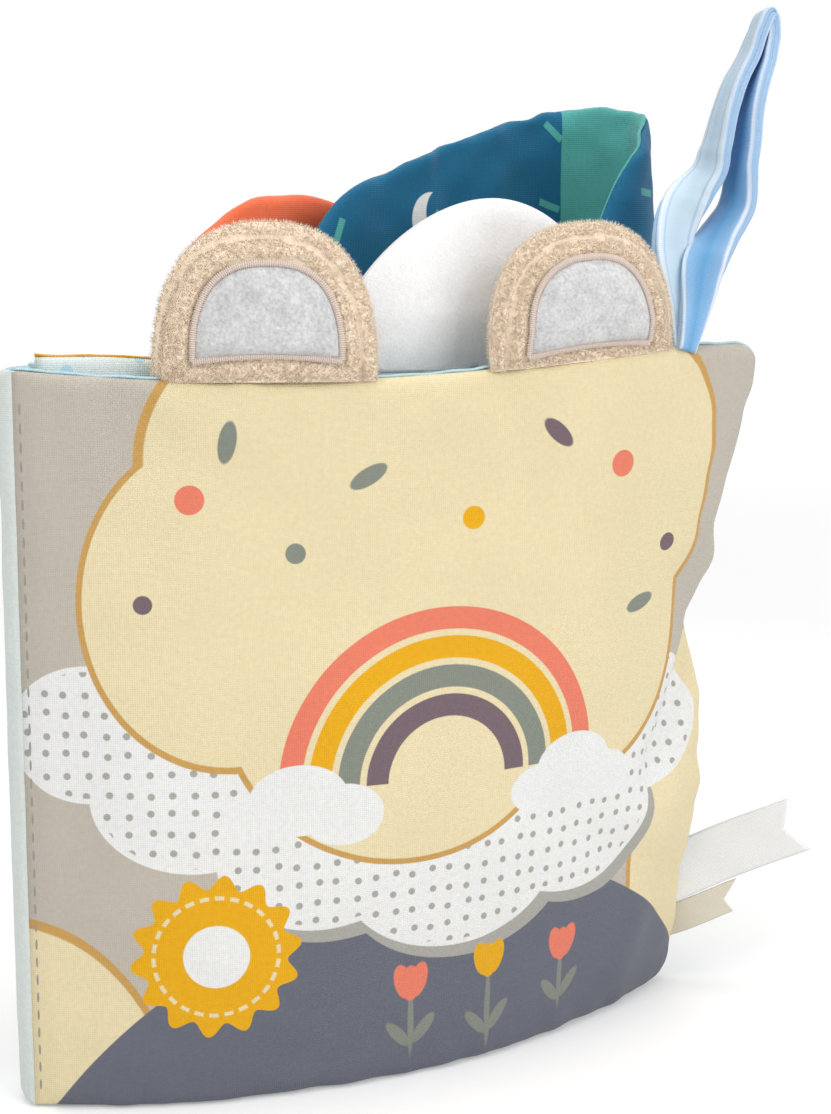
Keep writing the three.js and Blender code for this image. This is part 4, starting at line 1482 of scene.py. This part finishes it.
def tabSheet(name, tab, shape, rise, side, material, cloth=0.0006, rings=26, spokes=64):
    # One cloth of a D-shaped tab, from the middle of its foot out to its rim
    piece = startGrid(name, spokes, rings, material)
    shares = [1 - (1 - j / rings) ** 1.5 for j in range(rings + 1)]

    def flatPlace(i, j):
        return roundedPlace(shape, shares[j], pi * i / spokes)

    def place(i, j):
        x, z = flatPlace(i, j)
        return tab["seat"] @ Vector((x, side * rise(x, z, shares[j]) + seamBow(tab, x, z), z))

    layGrid(piece, spokes, rings, place, flatPlace)
    mergePoints(piece, 0.00001)
    turnFaces(piece, tab["seat"].to_3x3() @ Vector((0, side, 0)))
    applyModifier(piece, "SOLIDIFY", thickness=cloth, offset=-1)
    smoothFaces(piece)
    return piece


stuffing = {"across": 0.86, "up": 0.84, "under": 0.03, "through": 0.55, "foot": 0.0018}


def addStuffing(name, tab, rise):
    # A soft pad inside a tab, clear of both cloths
    bpy.ops.object.select_all(action="DESELECT")
    bpy.ops.mesh.primitive_uv_sphere_add(segments=48, ring_count=24, radius=1)
    piece = bpy.context.object
    piece.name = piece.data.name = name
    piece.data.materials.append(materials["wadding"])
    for vertex in piece.data.vertices:
        across, through, up = vertex.co
        up *= stuffing["up"] if up > 0 else stuffing["under"]
        x = stuffing["across"] * tab["halfWidth"] * across + tab.get("lean", 0) * up
        z = stuffing["foot"] + tab["height"] * up
        out = stuffing["through"] * through * rise(x, z, 0) + seamBow(tab, x, z)
        vertex.co = tab["seat"] @ Vector((x, out, z))
    smoothFaces(piece)
    return piece


def addPile(piece, nap, inward, where, seed):
    # Short fibres on the cloth's outer face, leaning with the nap. Each is a thin three-sided point.
    randomPile = random.Random(seed)
    mesh = piece.data
    faces = []
    for polygon in mesh.polygons:
        if polygon.normal.dot(inward) < pile["facing"] and where(polygon.center):
            faces.append(polygon)
    areas = np.cumsum([p.area for p in faces])
    points = [v.co.copy() for v in mesh.vertices]
    allFaces = [list(p.vertices) for p in mesh.polygons]
    # Painted shade: the cloth between the fibres and each fibre's root take the deeper tone, each tip the
    # brighter one
    heights = [pile["rootShade"]] * len(points)
    for fibre in range(pile["count"]):
        face = faces[int(np.searchsorted(areas, randomPile.random() * areas[-1]))]
        ring = [points[v] for v in face.vertices]
        a, b = randomPile.random(), randomPile.random()
        low = ring[0].lerp(ring[1], a)
        high = ring[-1].lerp(ring[-2], a) if len(ring) > 3 else ring[-1]
        root = low.lerp(high, b)
        lean = Vector((randomPile.uniform(-1, 1), randomPile.uniform(-1, 1), randomPile.uniform(-1, 1)))
        way = (face.normal + nap + pile["spread"] * lean).normalized()
        length = pile["length"] * randomPile.uniform(0.65, 1.2)
        side = way.orthogonal().normalized() * pile["width"]
        first = len(points)
        for turned in pile["corners"]:
            points.append(root - way * pile["rootDepth"] + Matrix.Rotation(turned + a * 3, 3, way) @ side)
        points.append(root + way * length)
        heights += [0.0, 0.0, 0.0, 1.0]
        allFaces += [[first + v for v in corners] for corners in ((0, 1, 3), (1, 2, 3), (2, 0, 3), (0, 2, 1))]
    grown = bpy.data.meshes.new(piece.name + "Pile")
    grown.from_pydata([tuple(p) for p in points], [], allFaces)
    grown.materials.append(mesh.materials[0])
    tips = grown.attributes.new("pile", "FLOAT", "POINT")
    tips.data.foreach_set("value", heights)
    piece.data = grown
    smoothFaces(piece)


ear = {
    "halfWidth": 0.0236,
    "height": {"left": 0.0316, "right": 0.0286},
    "power": 2.5,
    "spacing": 0.073,
    "shift": 0.001,
    "thickness": 0.0047,
    "gap": 0.0008,
    "footDown": 0.0014,
    "rimInset": 0.0024,
    "rimDrop": 0.0034,
    "rimShift": {"left": -0.0014, "right": 0.0011},
    "rimShare": 0.62,
    "groove": 0.0007,
    "grooveAt": 1.01,
    "grooveWidth": 0.035,
    "grooveBare": 0.02,
    "seatHalf": 0.0235,
    "seamShare": 0.4,
    "seamSpan": 0.0075,
    "edgeHalf": 0.0003,
}
patch = {
    "halfWidth": 0.015,
    "height": 0.0192,
    "base": {"left": 0.0048, "right": 0.0028},
    "arch": 0.0012,
    "power": 2.5,
    "area": 0.00049,
    "meanSize": 0.016,
    "sunk": 0.0006,
    "puff": 0.0007,
    "proud": 0.0004,
}
border = {
    "width": 0.0018,
    "pitch": 0.00046,
    "valley": 0.0011,
    "valleyWidth": 0.0015,
    "margin": 0.0006,
    "proud": 0.00075,
    "half": 0.00055,
    "halfLength": 0.62,
    "bare": 0.0013,
    "arcSteps": 180,
    "footSteps": 40,
    "footDrop": 0.0004,
}
pile = {
    "count": 9000,
    "length": 0.0010,
    "width": 0.0001,
    "spread": 0.6,
    "nap": 0.2,
    "facing": 0.35,
    "rootDepth": 0.0002,
    "rootShade": 0.7,
    "corners": (0, 2.094, 4.189),  # radians round a fibre, a third of a turn apart
}


def reachOf(x, z, halfWidth, height, power):
    # 0 in the middle of a D-shaped tab's foot and 1 at its outline
    return (abs(x / halfWidth) ** power + max(0.0, z / height) ** power) ** (1 / power)


def patchReach(tab, x, z):
    # Metres beyond the edge of the ear's inner patch
    foot = tab["patch"]["base"] + patch["arch"] * (1 - min(1.0, abs(x) / patch["halfWidth"]) ** 2)
    beyond = reachOf(x, z - tab["patch"]["base"], patch["halfWidth"], patch["height"], patch["power"]) - 1
    return max(beyond * patch["meanSize"], foot - z)


def earBody(tab, x, z, share):
    # The stuffed body, thinner where its foot is sewn in
    fuller = rampTo(z, ear["footDown"] - ear["gap"], ear["seamSpan"])
    seam = ear["seamShare"] + (1 - ear["seamShare"]) * fuller
    return ear["edgeHalf"] + ear["thickness"] * seam * sqrt(max(0.0, 1 - share**5))


def padReach(tab, x, z):
    # 1 at the groove between the front plush and the rim
    inset = ear["halfWidth"] - ear["rimInset"]
    return reachOf(x - tab["rimShift"], z, inset, tab["height"] - ear["rimDrop"], ear["power"])


def earFront(tab, x, z, share):
    # The front plush bulges inside the seam, and the rim beyond it is the back plush turned forward
    inner = padReach(tab, x, z)
    rim = ear["rimShare"] * earBody(tab, x, z, share)
    rise = max(rim, earBody(tab, x, z, min(1.0, inner)))
    rise -= ear["groove"] * exp(-(((inner - ear["grooveAt"]) / ear["grooveWidth"]) ** 2))
    away = patchReach(tab, x, z)
    rise -= border["valley"] * exp(-(((away - border["margin"]) / border["valleyWidth"]) ** 2))
    rise -= patch["sunk"] * rampTo(away, 0, -0.002)
    tufts = 0.0004 * softNoise(x, z, 0.009, 21) + 0.0001 * softNoise(x, z, 0.0024, 22)
    return max(0.0002, rise + tufts * rampTo(away, 0, 0.001))


def earBack(tab, x, z, share):
    return earBody(tab, x, z, share) + 0.0004 * softNoise(x, z, 0.011, 25) * sqrt(max(0.0, 1 - share**5))


def earShare(tab, x, z):
    return min(1.0, reachOf(x, z, tab["halfWidth"], tab["height"], ear["power"]))


def patchFace(tab, x, z, share):
    puff = patch["puff"] * (1 - share**8) * rampTo(z - tab["patch"]["base"], -0.0003, 0.0017)
    return earFront(tab, x, z, earShare(tab, x, z)) + patch["proud"] + puff


def addEar(side, along):
    body = side + "_ear"
    seat, bow = seamFrame(frontPanel, along, ear["seatHalf"], ear["gap"] - ear["footDown"], cover["height"])
    outward = seat.to_3x3() @ Vector((0, -1, 0))
    upward = seat.to_3x3() @ Vector((0, 0, 1))
    height = ear["height"][side] + ear["footDown"]
    shape = {"halfWidth": ear["halfWidth"], "height": height, "power": ear["power"]}
    sidePatch = {**patch, "base": patch["base"][side]}
    tab = {**shape, "seat": seat, "bow": bow, "settle": 0}
    tab.update({"rimShift": ear["rimShift"][side], "patch": sidePatch})
    hinge = hingeUp(seat @ Vector((0, 0, ear["footDown"])), "front_cover", body, "tab", upward)
    back = seat.inverted()
    seamLine = ear["footDown"] - ear["gap"] - 0.0004

    def bareCloth(point):
        local = back @ point
        if abs(padReach(tab, local.x, local.z) - ear["grooveAt"]) < ear["grooveBare"]:
            return False
        return patchReach(tab, local.x, local.z) > border["bare"] and local.z > seamLine

    def aboveSeam(point):
        return (back @ point).z > seamLine

    def face(rise):
        return lambda x, z, share: rise(tab, x, z, share)

    plush = materials["plush"]
    nap = upward * pile["nap"]
    front = tabSheet(side + "EarFrontPlush", tab, shape, face(earFront), -1, plush, rings=44, spokes=84)
    addPile(front, nap, -outward, bareCloth, 5)
    rear = tabSheet(side + "EarBackPlush", tab, shape, face(earBack), 1, plush)
    addPile(rear, nap, outward, aboveSeam, 6)
    velour = materials["greyVelour"]
    inner = tabSheet(side + "EarInnerVelour", tab, sidePatch, face(patchFace), -1, velour, 0.0005, 20, 48)
    ring = addBorder(side, tab)
    pad = addStuffing(side + "EarStuffing", tab, face(earBody))
    finishPiece(front, body + "_front_plush", hinge)
    finishPiece(rear, body + "_back_plush", hinge)
    finishPiece(inner, body + "_inner_velour", hinge)
    finishPiece(ring, body + "_embroidery", hinge)
    finishPiece(pad, body + "_stuffing", hinge)


def addBorder(side, tab):
    # Satin stitches laid side by side across the edge of the inner patch
    inner = tab["patch"]
    margin = border["margin"]
    grown = {**inner, "halfWidth": inner["halfWidth"] + margin, "height": inner["height"] + margin}
    outline = []
    for i in range(border["arcSteps"] + 1):
        x, z = roundedPlace(grown, 1, pi * i / border["arcSteps"])
        outline.append(Vector((x, 0, z)))
    for i in range(border["footSteps"] + 1):
        x = grown["halfWidth"] * (2 * i / border["footSteps"] - 1)
        arch = inner["arch"] * (1 - min(1.0, abs(x) / inner["halfWidth"]) ** 2)
        outline.append(Vector((x, 0, inner["base"] + arch - border["footDrop"])))
    bpy.ops.object.select_all(action="DESELECT")
    bpy.ops.mesh.primitive_uv_sphere_add(segments=6, ring_count=5, radius=1)
    model = bpy.context.object
    size = Matrix.Diagonal((border["width"] / 2, border["half"], border["pitch"] * border["halfLength"], 1))
    places = []
    middle = Vector((0, 0, inner["base"] + inner["height"] * 0.4))
    left = 0.0
    for start, end in zip(outline, outline[1:]):
        length = (end - start).length
        if length < 1e-7:
            continue
        way = (end - start) / length
        outwardWay = Vector((way.z, 0, -way.x))
        if outwardWay.dot(start - middle) < 0:
            outwardWay = -outwardWay
        while left < length:
            at = start + way * left
            rise = earFront(tab, at.x, at.z, earShare(tab, at.x, at.z)) + border["proud"]
            at = Vector((at.x, seamBow(tab, at.x, at.z) - rise, at.z))
            turn = Matrix((outwardWay, Vector((0, -1, 0)), way)).transposed().to_4x4()
            places.append(tab["seat"] @ Matrix.Translation(at) @ turn @ size)
            left += border["pitch"]
        left -= length
    return repeatShape(side + "EarSatinBorder", model, places, materials["satin"])


addEar("left", (cover["width"] - ear["spacing"]) / 2 + ear["shift"])
addEar("right", (cover["width"] + ear["spacing"]) / 2 + ear["shift"])
print("ears made")

dome = {
    "place": 0.094,
    "halfWidth": 0.036,
    "height": 0.0367,
    "power": 1.9,
    "half": 0.0037,
    "footDown": 0.001,
    "settle": 0.5,
    "bowShare": 0.45,
    "lean": 0.006,
    "gap": 0.0003,
    "edgeHalf": 0.0003,
    "seamShare": 0.35,
    "seamSpan": 0.012,
    "dent": 0.0014,
    "dentPlace": (0.006, 0.029),
    "dentSize": (0.007, 0.006),
    "uneven": 0.0007,
}


def domeFace(x, z, share):
    full = sqrt(max(0.0, 1 - share**3))
    seam = dome["seamShare"] + (1 - dome["seamShare"]) * min(1.0, max(0.0, z) / dome["seamSpan"])
    (right, up), (wide, high) = dome["dentPlace"], dome["dentSize"]
    dent = dome["dent"] * exp(-(((x - right) / wide) ** 2) - ((z - up) / high) ** 2)
    uneven = dome["uneven"] * softNoise(x, z, 0.016, 33)
    return dome["edgeHalf"] + dome["half"] * full * seam - dent * full + uneven * full


def addDome():
    gap = dome["gap"] - dome["footDown"]
    seat, bow = seamFrame(mintPanel, dome["place"], dome["halfWidth"], gap, leaf["height"], dome["settle"])
    shape = {**dome, "height": dome["height"] + dome["footDown"]}
    tab = {**shape, "seat": seat, "bow": bow * dome["bowShare"]}
    hinge = hingeUp(seat @ Vector((0, 0, dome["footDown"])), "mint_leaf", "dome_tab", "tab")
    velour = materials["velour"]
    for name, side, node in (("domeTabFront", -1, "dome_tab_front"), ("domeTabBack", 1, "dome_tab_back")):
        piece = tabSheet(name, tab, shape, domeFace, side, velour, cloth=0.0008, rings=30, spokes=72)
        finishPiece(piece, node, hinge)
    finishPiece(addStuffing("domeTabStuffing", tab, domeFace), "dome_tab_stuffing", hinge)


addDome()
print("dome tab made")

# Hanging strap: a folded ribbon with lengthwise ridges, sewn in the cover's top seam

# Its sizes are in millimetres, apart from its foot's distance from the fore edge
strap = {
    "fromFore": 0.024,
    "width": 10,
    "edgeRound": 3,
    "footWidth": 5,
    "gap": 0.3,
    "spread": 18,
    "thickness": 2.9,
    "ridge": 0.12,
    "steps": 180,
}
# Points along its middle, as distance along the seam, behind the seam and above it,
# and the angle that its width has turned from along the seam towards the front
strapRoute = [
    (0, -0.9, -1.5, 0),
    (3.2, -0.9, 8.7, 20),
    (5, -1, 17, 40),
    (8.4, -1, 22.7, 60),
    (12.1, -1, 27, 74),
    (14.9, -1, 31, 85),
    (16, -1, 36, 94),
    (16.9, -1, 42, 101),
    (19.2, -1, 55.5, 107),
    (23, -0.5, 64, 113),
    (25.2, 0, 70.5, 119),
    (24.6, 0.7, 73.6, 120),
    (22.4, 1, 70.5, 119),
    (19.6, 1.5, 64, 113),
    (14.9, 2, 55.5, 109),
    (12.6, 2, 49, 105),
    (10.7, 2, 43.3, 97),
    (9.4, 2.5, 38.6, 84),
    (5.6, 3.5, 34, 56),
    (2, 4, 29, 25),
    (0.2, 4, 23, 7),
    (0.2, 3.4, 15.5, 0),
    (0.4, 2.2, 8, 0),
    (0, 0.9, -1.5, 0),
]


def curvePoint(points, share):
    # A smooth curve through the points
    count = len(points) - 1
    at = min(share * count, count - 1e-6)
    k = int(at)
    t = at - k
    p = [Vector(points[max(0, min(count, k + d))]) for d in (-1, 0, 1, 2)]
    bend = 2 * p[0] - 5 * p[1] + 4 * p[2] - p[3]
    return 0.5 * (2 * p[1] + (p[2] - p[0]) * t + bend * t**2 + (3 * p[1] - p[0] - 3 * p[2] + p[3]) * t**3)


def ribbonOutline(faceSteps=8, lobeSteps=5):
    # Across the ribbon: two flat faces, and two folded layers side by side at each edge.
    # Each row is its place across and its place through, both from -1 to 1, and its share of the face
    # or, from 1 to 2, of the edge.
    lobe = strap["thickness"] / 2 / strap["width"]
    rows = []
    for face in (1, -1):
        for k in range(faceSteps):
            rows.append((face * (2 * k / faceSteps - 1) * (1 - lobe), face, k / faceSteps))
        for layer in (1, -1):
            for k in range(lobeSteps):
                angle = radians(90 - 180 * k / lobeSteps)
                across = face * (1 - lobe + lobe * cos(angle))
                through = face * (0.5 * layer + 0.5 * sin(angle))
                along = (0 if layer > 0 else 0.5) + 0.5 * k / lobeSteps
                rows.append((across, through, 1 + along))
    return rows


def addStrap():
    steps = strap["steps"]
    outline = ribbonOutline()
    around = len(outline)
    piece = startGrid("hangingStrap", around, steps, materials["ribbon"])
    fromHinge = cover["width"] - strap["fromFore"]
    halfFoot = strap["footWidth"] / 2 * mm
    seat = seamFrame(frontPanel, fromHinge, halfFoot, strap["gap"] * mm, cover["height"])[0]
    pressedWidth = strap["width"] + strap["edgeRound"]
    middles = [curvePoint(strapRoute, j / steps) for j in range(steps + 1)]
    length = sum((b.xyz - a.xyz).length for a, b in zip(middles, middles[1:])) * mm

    def place(i, j):
        across, through = outline[i % around][:2]
        at = middles[j]
        ahead = (middles[min(steps, j + 1)].xyz - middles[max(0, j - 1)].xyz).normalized()
        twist = radians(at.w)
        outward = ahead.cross(Vector((cos(twist), -sin(twist), 0))).normalized()
        sideways = outward.cross(ahead).normalized()
        spread = strap["footWidth"] + (strap["width"] - strap["footWidth"]) * rampTo(at.z, 0, strap["spread"])
        ridge = strap["ridge"] * cos(3 * pi * across) * (1 - across**4)
        half = strap["thickness"] / 2 + ridge
        soft = 0.3 * softNoise(across, at.z, 9, 41) + 0.25 * softNoise(j / steps, 0, 0.03, 43)
        return seat @ ((at.xyz + sideways * across * spread / 2 + outward * (through * half + soft)) * mm)

    def measure(i, j):
        # Round the ribbon: the first face and its edge, then the other face and its edge
        share = outline[i % around][2] if i < around else 0
        across = share * strap["width"] if share < 1 else strap["width"] + (share - 1) * strap["edgeRound"]
        return (across + pressedWidth * (i // (around // 2))) * mm, j / steps * length

    layGrid(piece, around, steps, place, measure)
    mergePoints(piece, 0.000001, closeEnds=True)
    smoothFaces(piece)
    hinge = hingeUp(seat.translation, "front_cover", "strap", "strap")
    finishPiece(piece, "hanging_strap", hinge)


addStrap()
print("strap made")

# Tags: swallow-tailed strips of tape sewn in the cover's fore edge, left bare

tags = {
    "gap": 0.001,
    "turn": -4,
    "thickness": 0.00045,
    "large": {
        "foot": 0.0194,
        "length": 0.038,
        "height": 0.0146,
        "notch": 0.004,
        "skew": 0,
        "slant": 24,
        "curl": 0.0016,
    },
    "small": {
        "length": 0.019,
        "height": 0.0078,
        "notch": 0.003,
        "skew": 0.004,
        "slant": 23,
        "curl": -0.0008,
    },
}
# The small tag is sewn in just under the large one
smallHigh = tags["small"]["height"] / cos(radians(tags["small"]["slant"]))
tags["small"]["foot"] = tags["large"]["foot"] - tags["gap"] - smallHigh


def addTag(size, material):
    # Its root follows the slanting fore edge, and it rises along its length
    values = tags[size]
    rise = radians(values["slant"])
    across, up = 40, 18
    piece = startGrid(size + "Tag", across, up, material)
    low = panelPoint(frontPanel, cover["width"], values["foot"], 0)
    high = panelPoint(frontPanel, cover["width"], values["foot"] + values["height"] / cos(rise), 0)
    turn = Matrix.Rotation(radians(tags["turn"]), 4, "Z")
    seat = Matrix.Translation(low) @ turn
    rootLean = (turn.transposed() @ (high - low)).x

    def flatPlace(i, j):
        t = j / up
        side = t * values["height"]
        start = t * (rootLean / cos(rise) + values["height"] * tan(rise))
        notched = values["notch"] * (1 - abs(2 * t - 1))
        end = values["length"] + values["skew"] * t - notched
        return start + (end - start) * i / across, side

    def place(i, j):
        along, side = flatPlace(i, j)
        out = values["curl"] * sin(min(1.0, max(0.0, along / values["length"])) * pi * 1.1)
        out += 0.0003 * softNoise(along, side, 0.01, 47)
        x = along * cos(rise) - side * sin(rise)
        return seat @ Vector((x, out, along * sin(rise) + side * cos(rise)))

    layGrid(piece, across, up, place, flatPlace)
    applyModifier(piece, "SOLIDIFY", thickness=tags["thickness"], offset=0)
    smoothFaces(piece)
    before, after = hingeSpans["tag"]
    start = seat @ Vector((-before, 0, 0))
    end = seat @ Vector((after, 0, 0))
    finishPiece(piece, size + "_tag", ("front_cover", size + "_tag", start, end))


addTag("large", materials["whiteTape"])
addTag("small", materials["beigeTape"])
print("tags made")


# Floor and light

floor = {
    "size": 6.0,
    "place": (0.09, 0.1, -0.0004),
    "fade": {"From Min": 0.5, "From Max": 1.5, "To Min": 0.24, "To Max": 0.62},
}
bpy.ops.object.select_all(action="DESELECT")
bpy.ops.mesh.primitive_plane_add(size=floor["size"], location=floor["place"])
floorPlane = bpy.context.object
floorPlane.name = "floor"
floorFinish = {"Base Color": (0.8, 0.8, 0.8, 1), "Roughness": 0.9, "Specular IOR Level": 0.1}
floorMaterial, floorTree, floorShader = startMaterial("pale matt studio floor", floorFinish)
# The floor fades into the white background with distance, as the camera sees it
seen = addNode(floorTree, "ShaderNodeLightPath").outputs["Is Camera Ray"]
floorPoint = addNode(floorTree, "ShaderNodeTexCoord").outputs["Object"]
away = addNode(floorTree, "ShaderNodeVectorMath", links={0: floorPoint}, operation="LENGTH").outputs["Value"]
brighter = addNode(floorTree, "ShaderNodeMapRange", floor["fade"], {"Value": away})
glow = addNode(floorTree, "ShaderNodeMath", links={0: seen, 1: brighter}, operation="MULTIPLY")
floorTree.links.new(glow.outputs[0], floorShader.inputs["Emission Strength"])
floorShader.inputs["Emission Color"].default_value = (1, 1, 1, 1)
floorPlane.data.materials.append(floorMaterial)

world = bpy.data.worlds.new("studio")
bpy.context.scene.world = world
world.use_nodes = True
worldTree = world.node_tree
background = worldTree.nodes["Background"]
background.inputs["Color"].default_value = (1, 1, 1, 1)
seen = addNode(worldTree, "ShaderNodeLightPath").outputs["Is Camera Ray"]
worldLevel = addNode(worldTree, "ShaderNodeMapRange", {"To Min": 0.5, "To Max": 1.0}, {"Value": seen})
worldTree.links.new(worldLevel.outputs[0], background.inputs["Strength"])

lampAim = (0.08, 0.04, 0.08)
lamps = {
    "key": {"place": (-0.55, -0.75, 0.85), "size": 0.7, "power": 4.2},
    "fill": {"place": (0.9, -0.6, 0.45), "size": 0.8, "power": 5.4},
    "top": {"place": (0.1, 0.1, 1.1), "size": 0.8, "power": 5.4},
}
for name, values in lamps.items():
    lampData = bpy.data.lights.new(name, "AREA")
    lampData.size = values["size"]
    lampData.energy = values["power"]
    lamp = bpy.data.objects.new(name, lampData)
    bpy.context.collection.objects.link(lamp)
    lamp.location = values["place"]
    aim = Vector(lampAim) - Vector(values["place"])
    lamp.rotation_euler = aim.to_track_quat("-Z", "Y").to_euler()
print("floor and lights made")
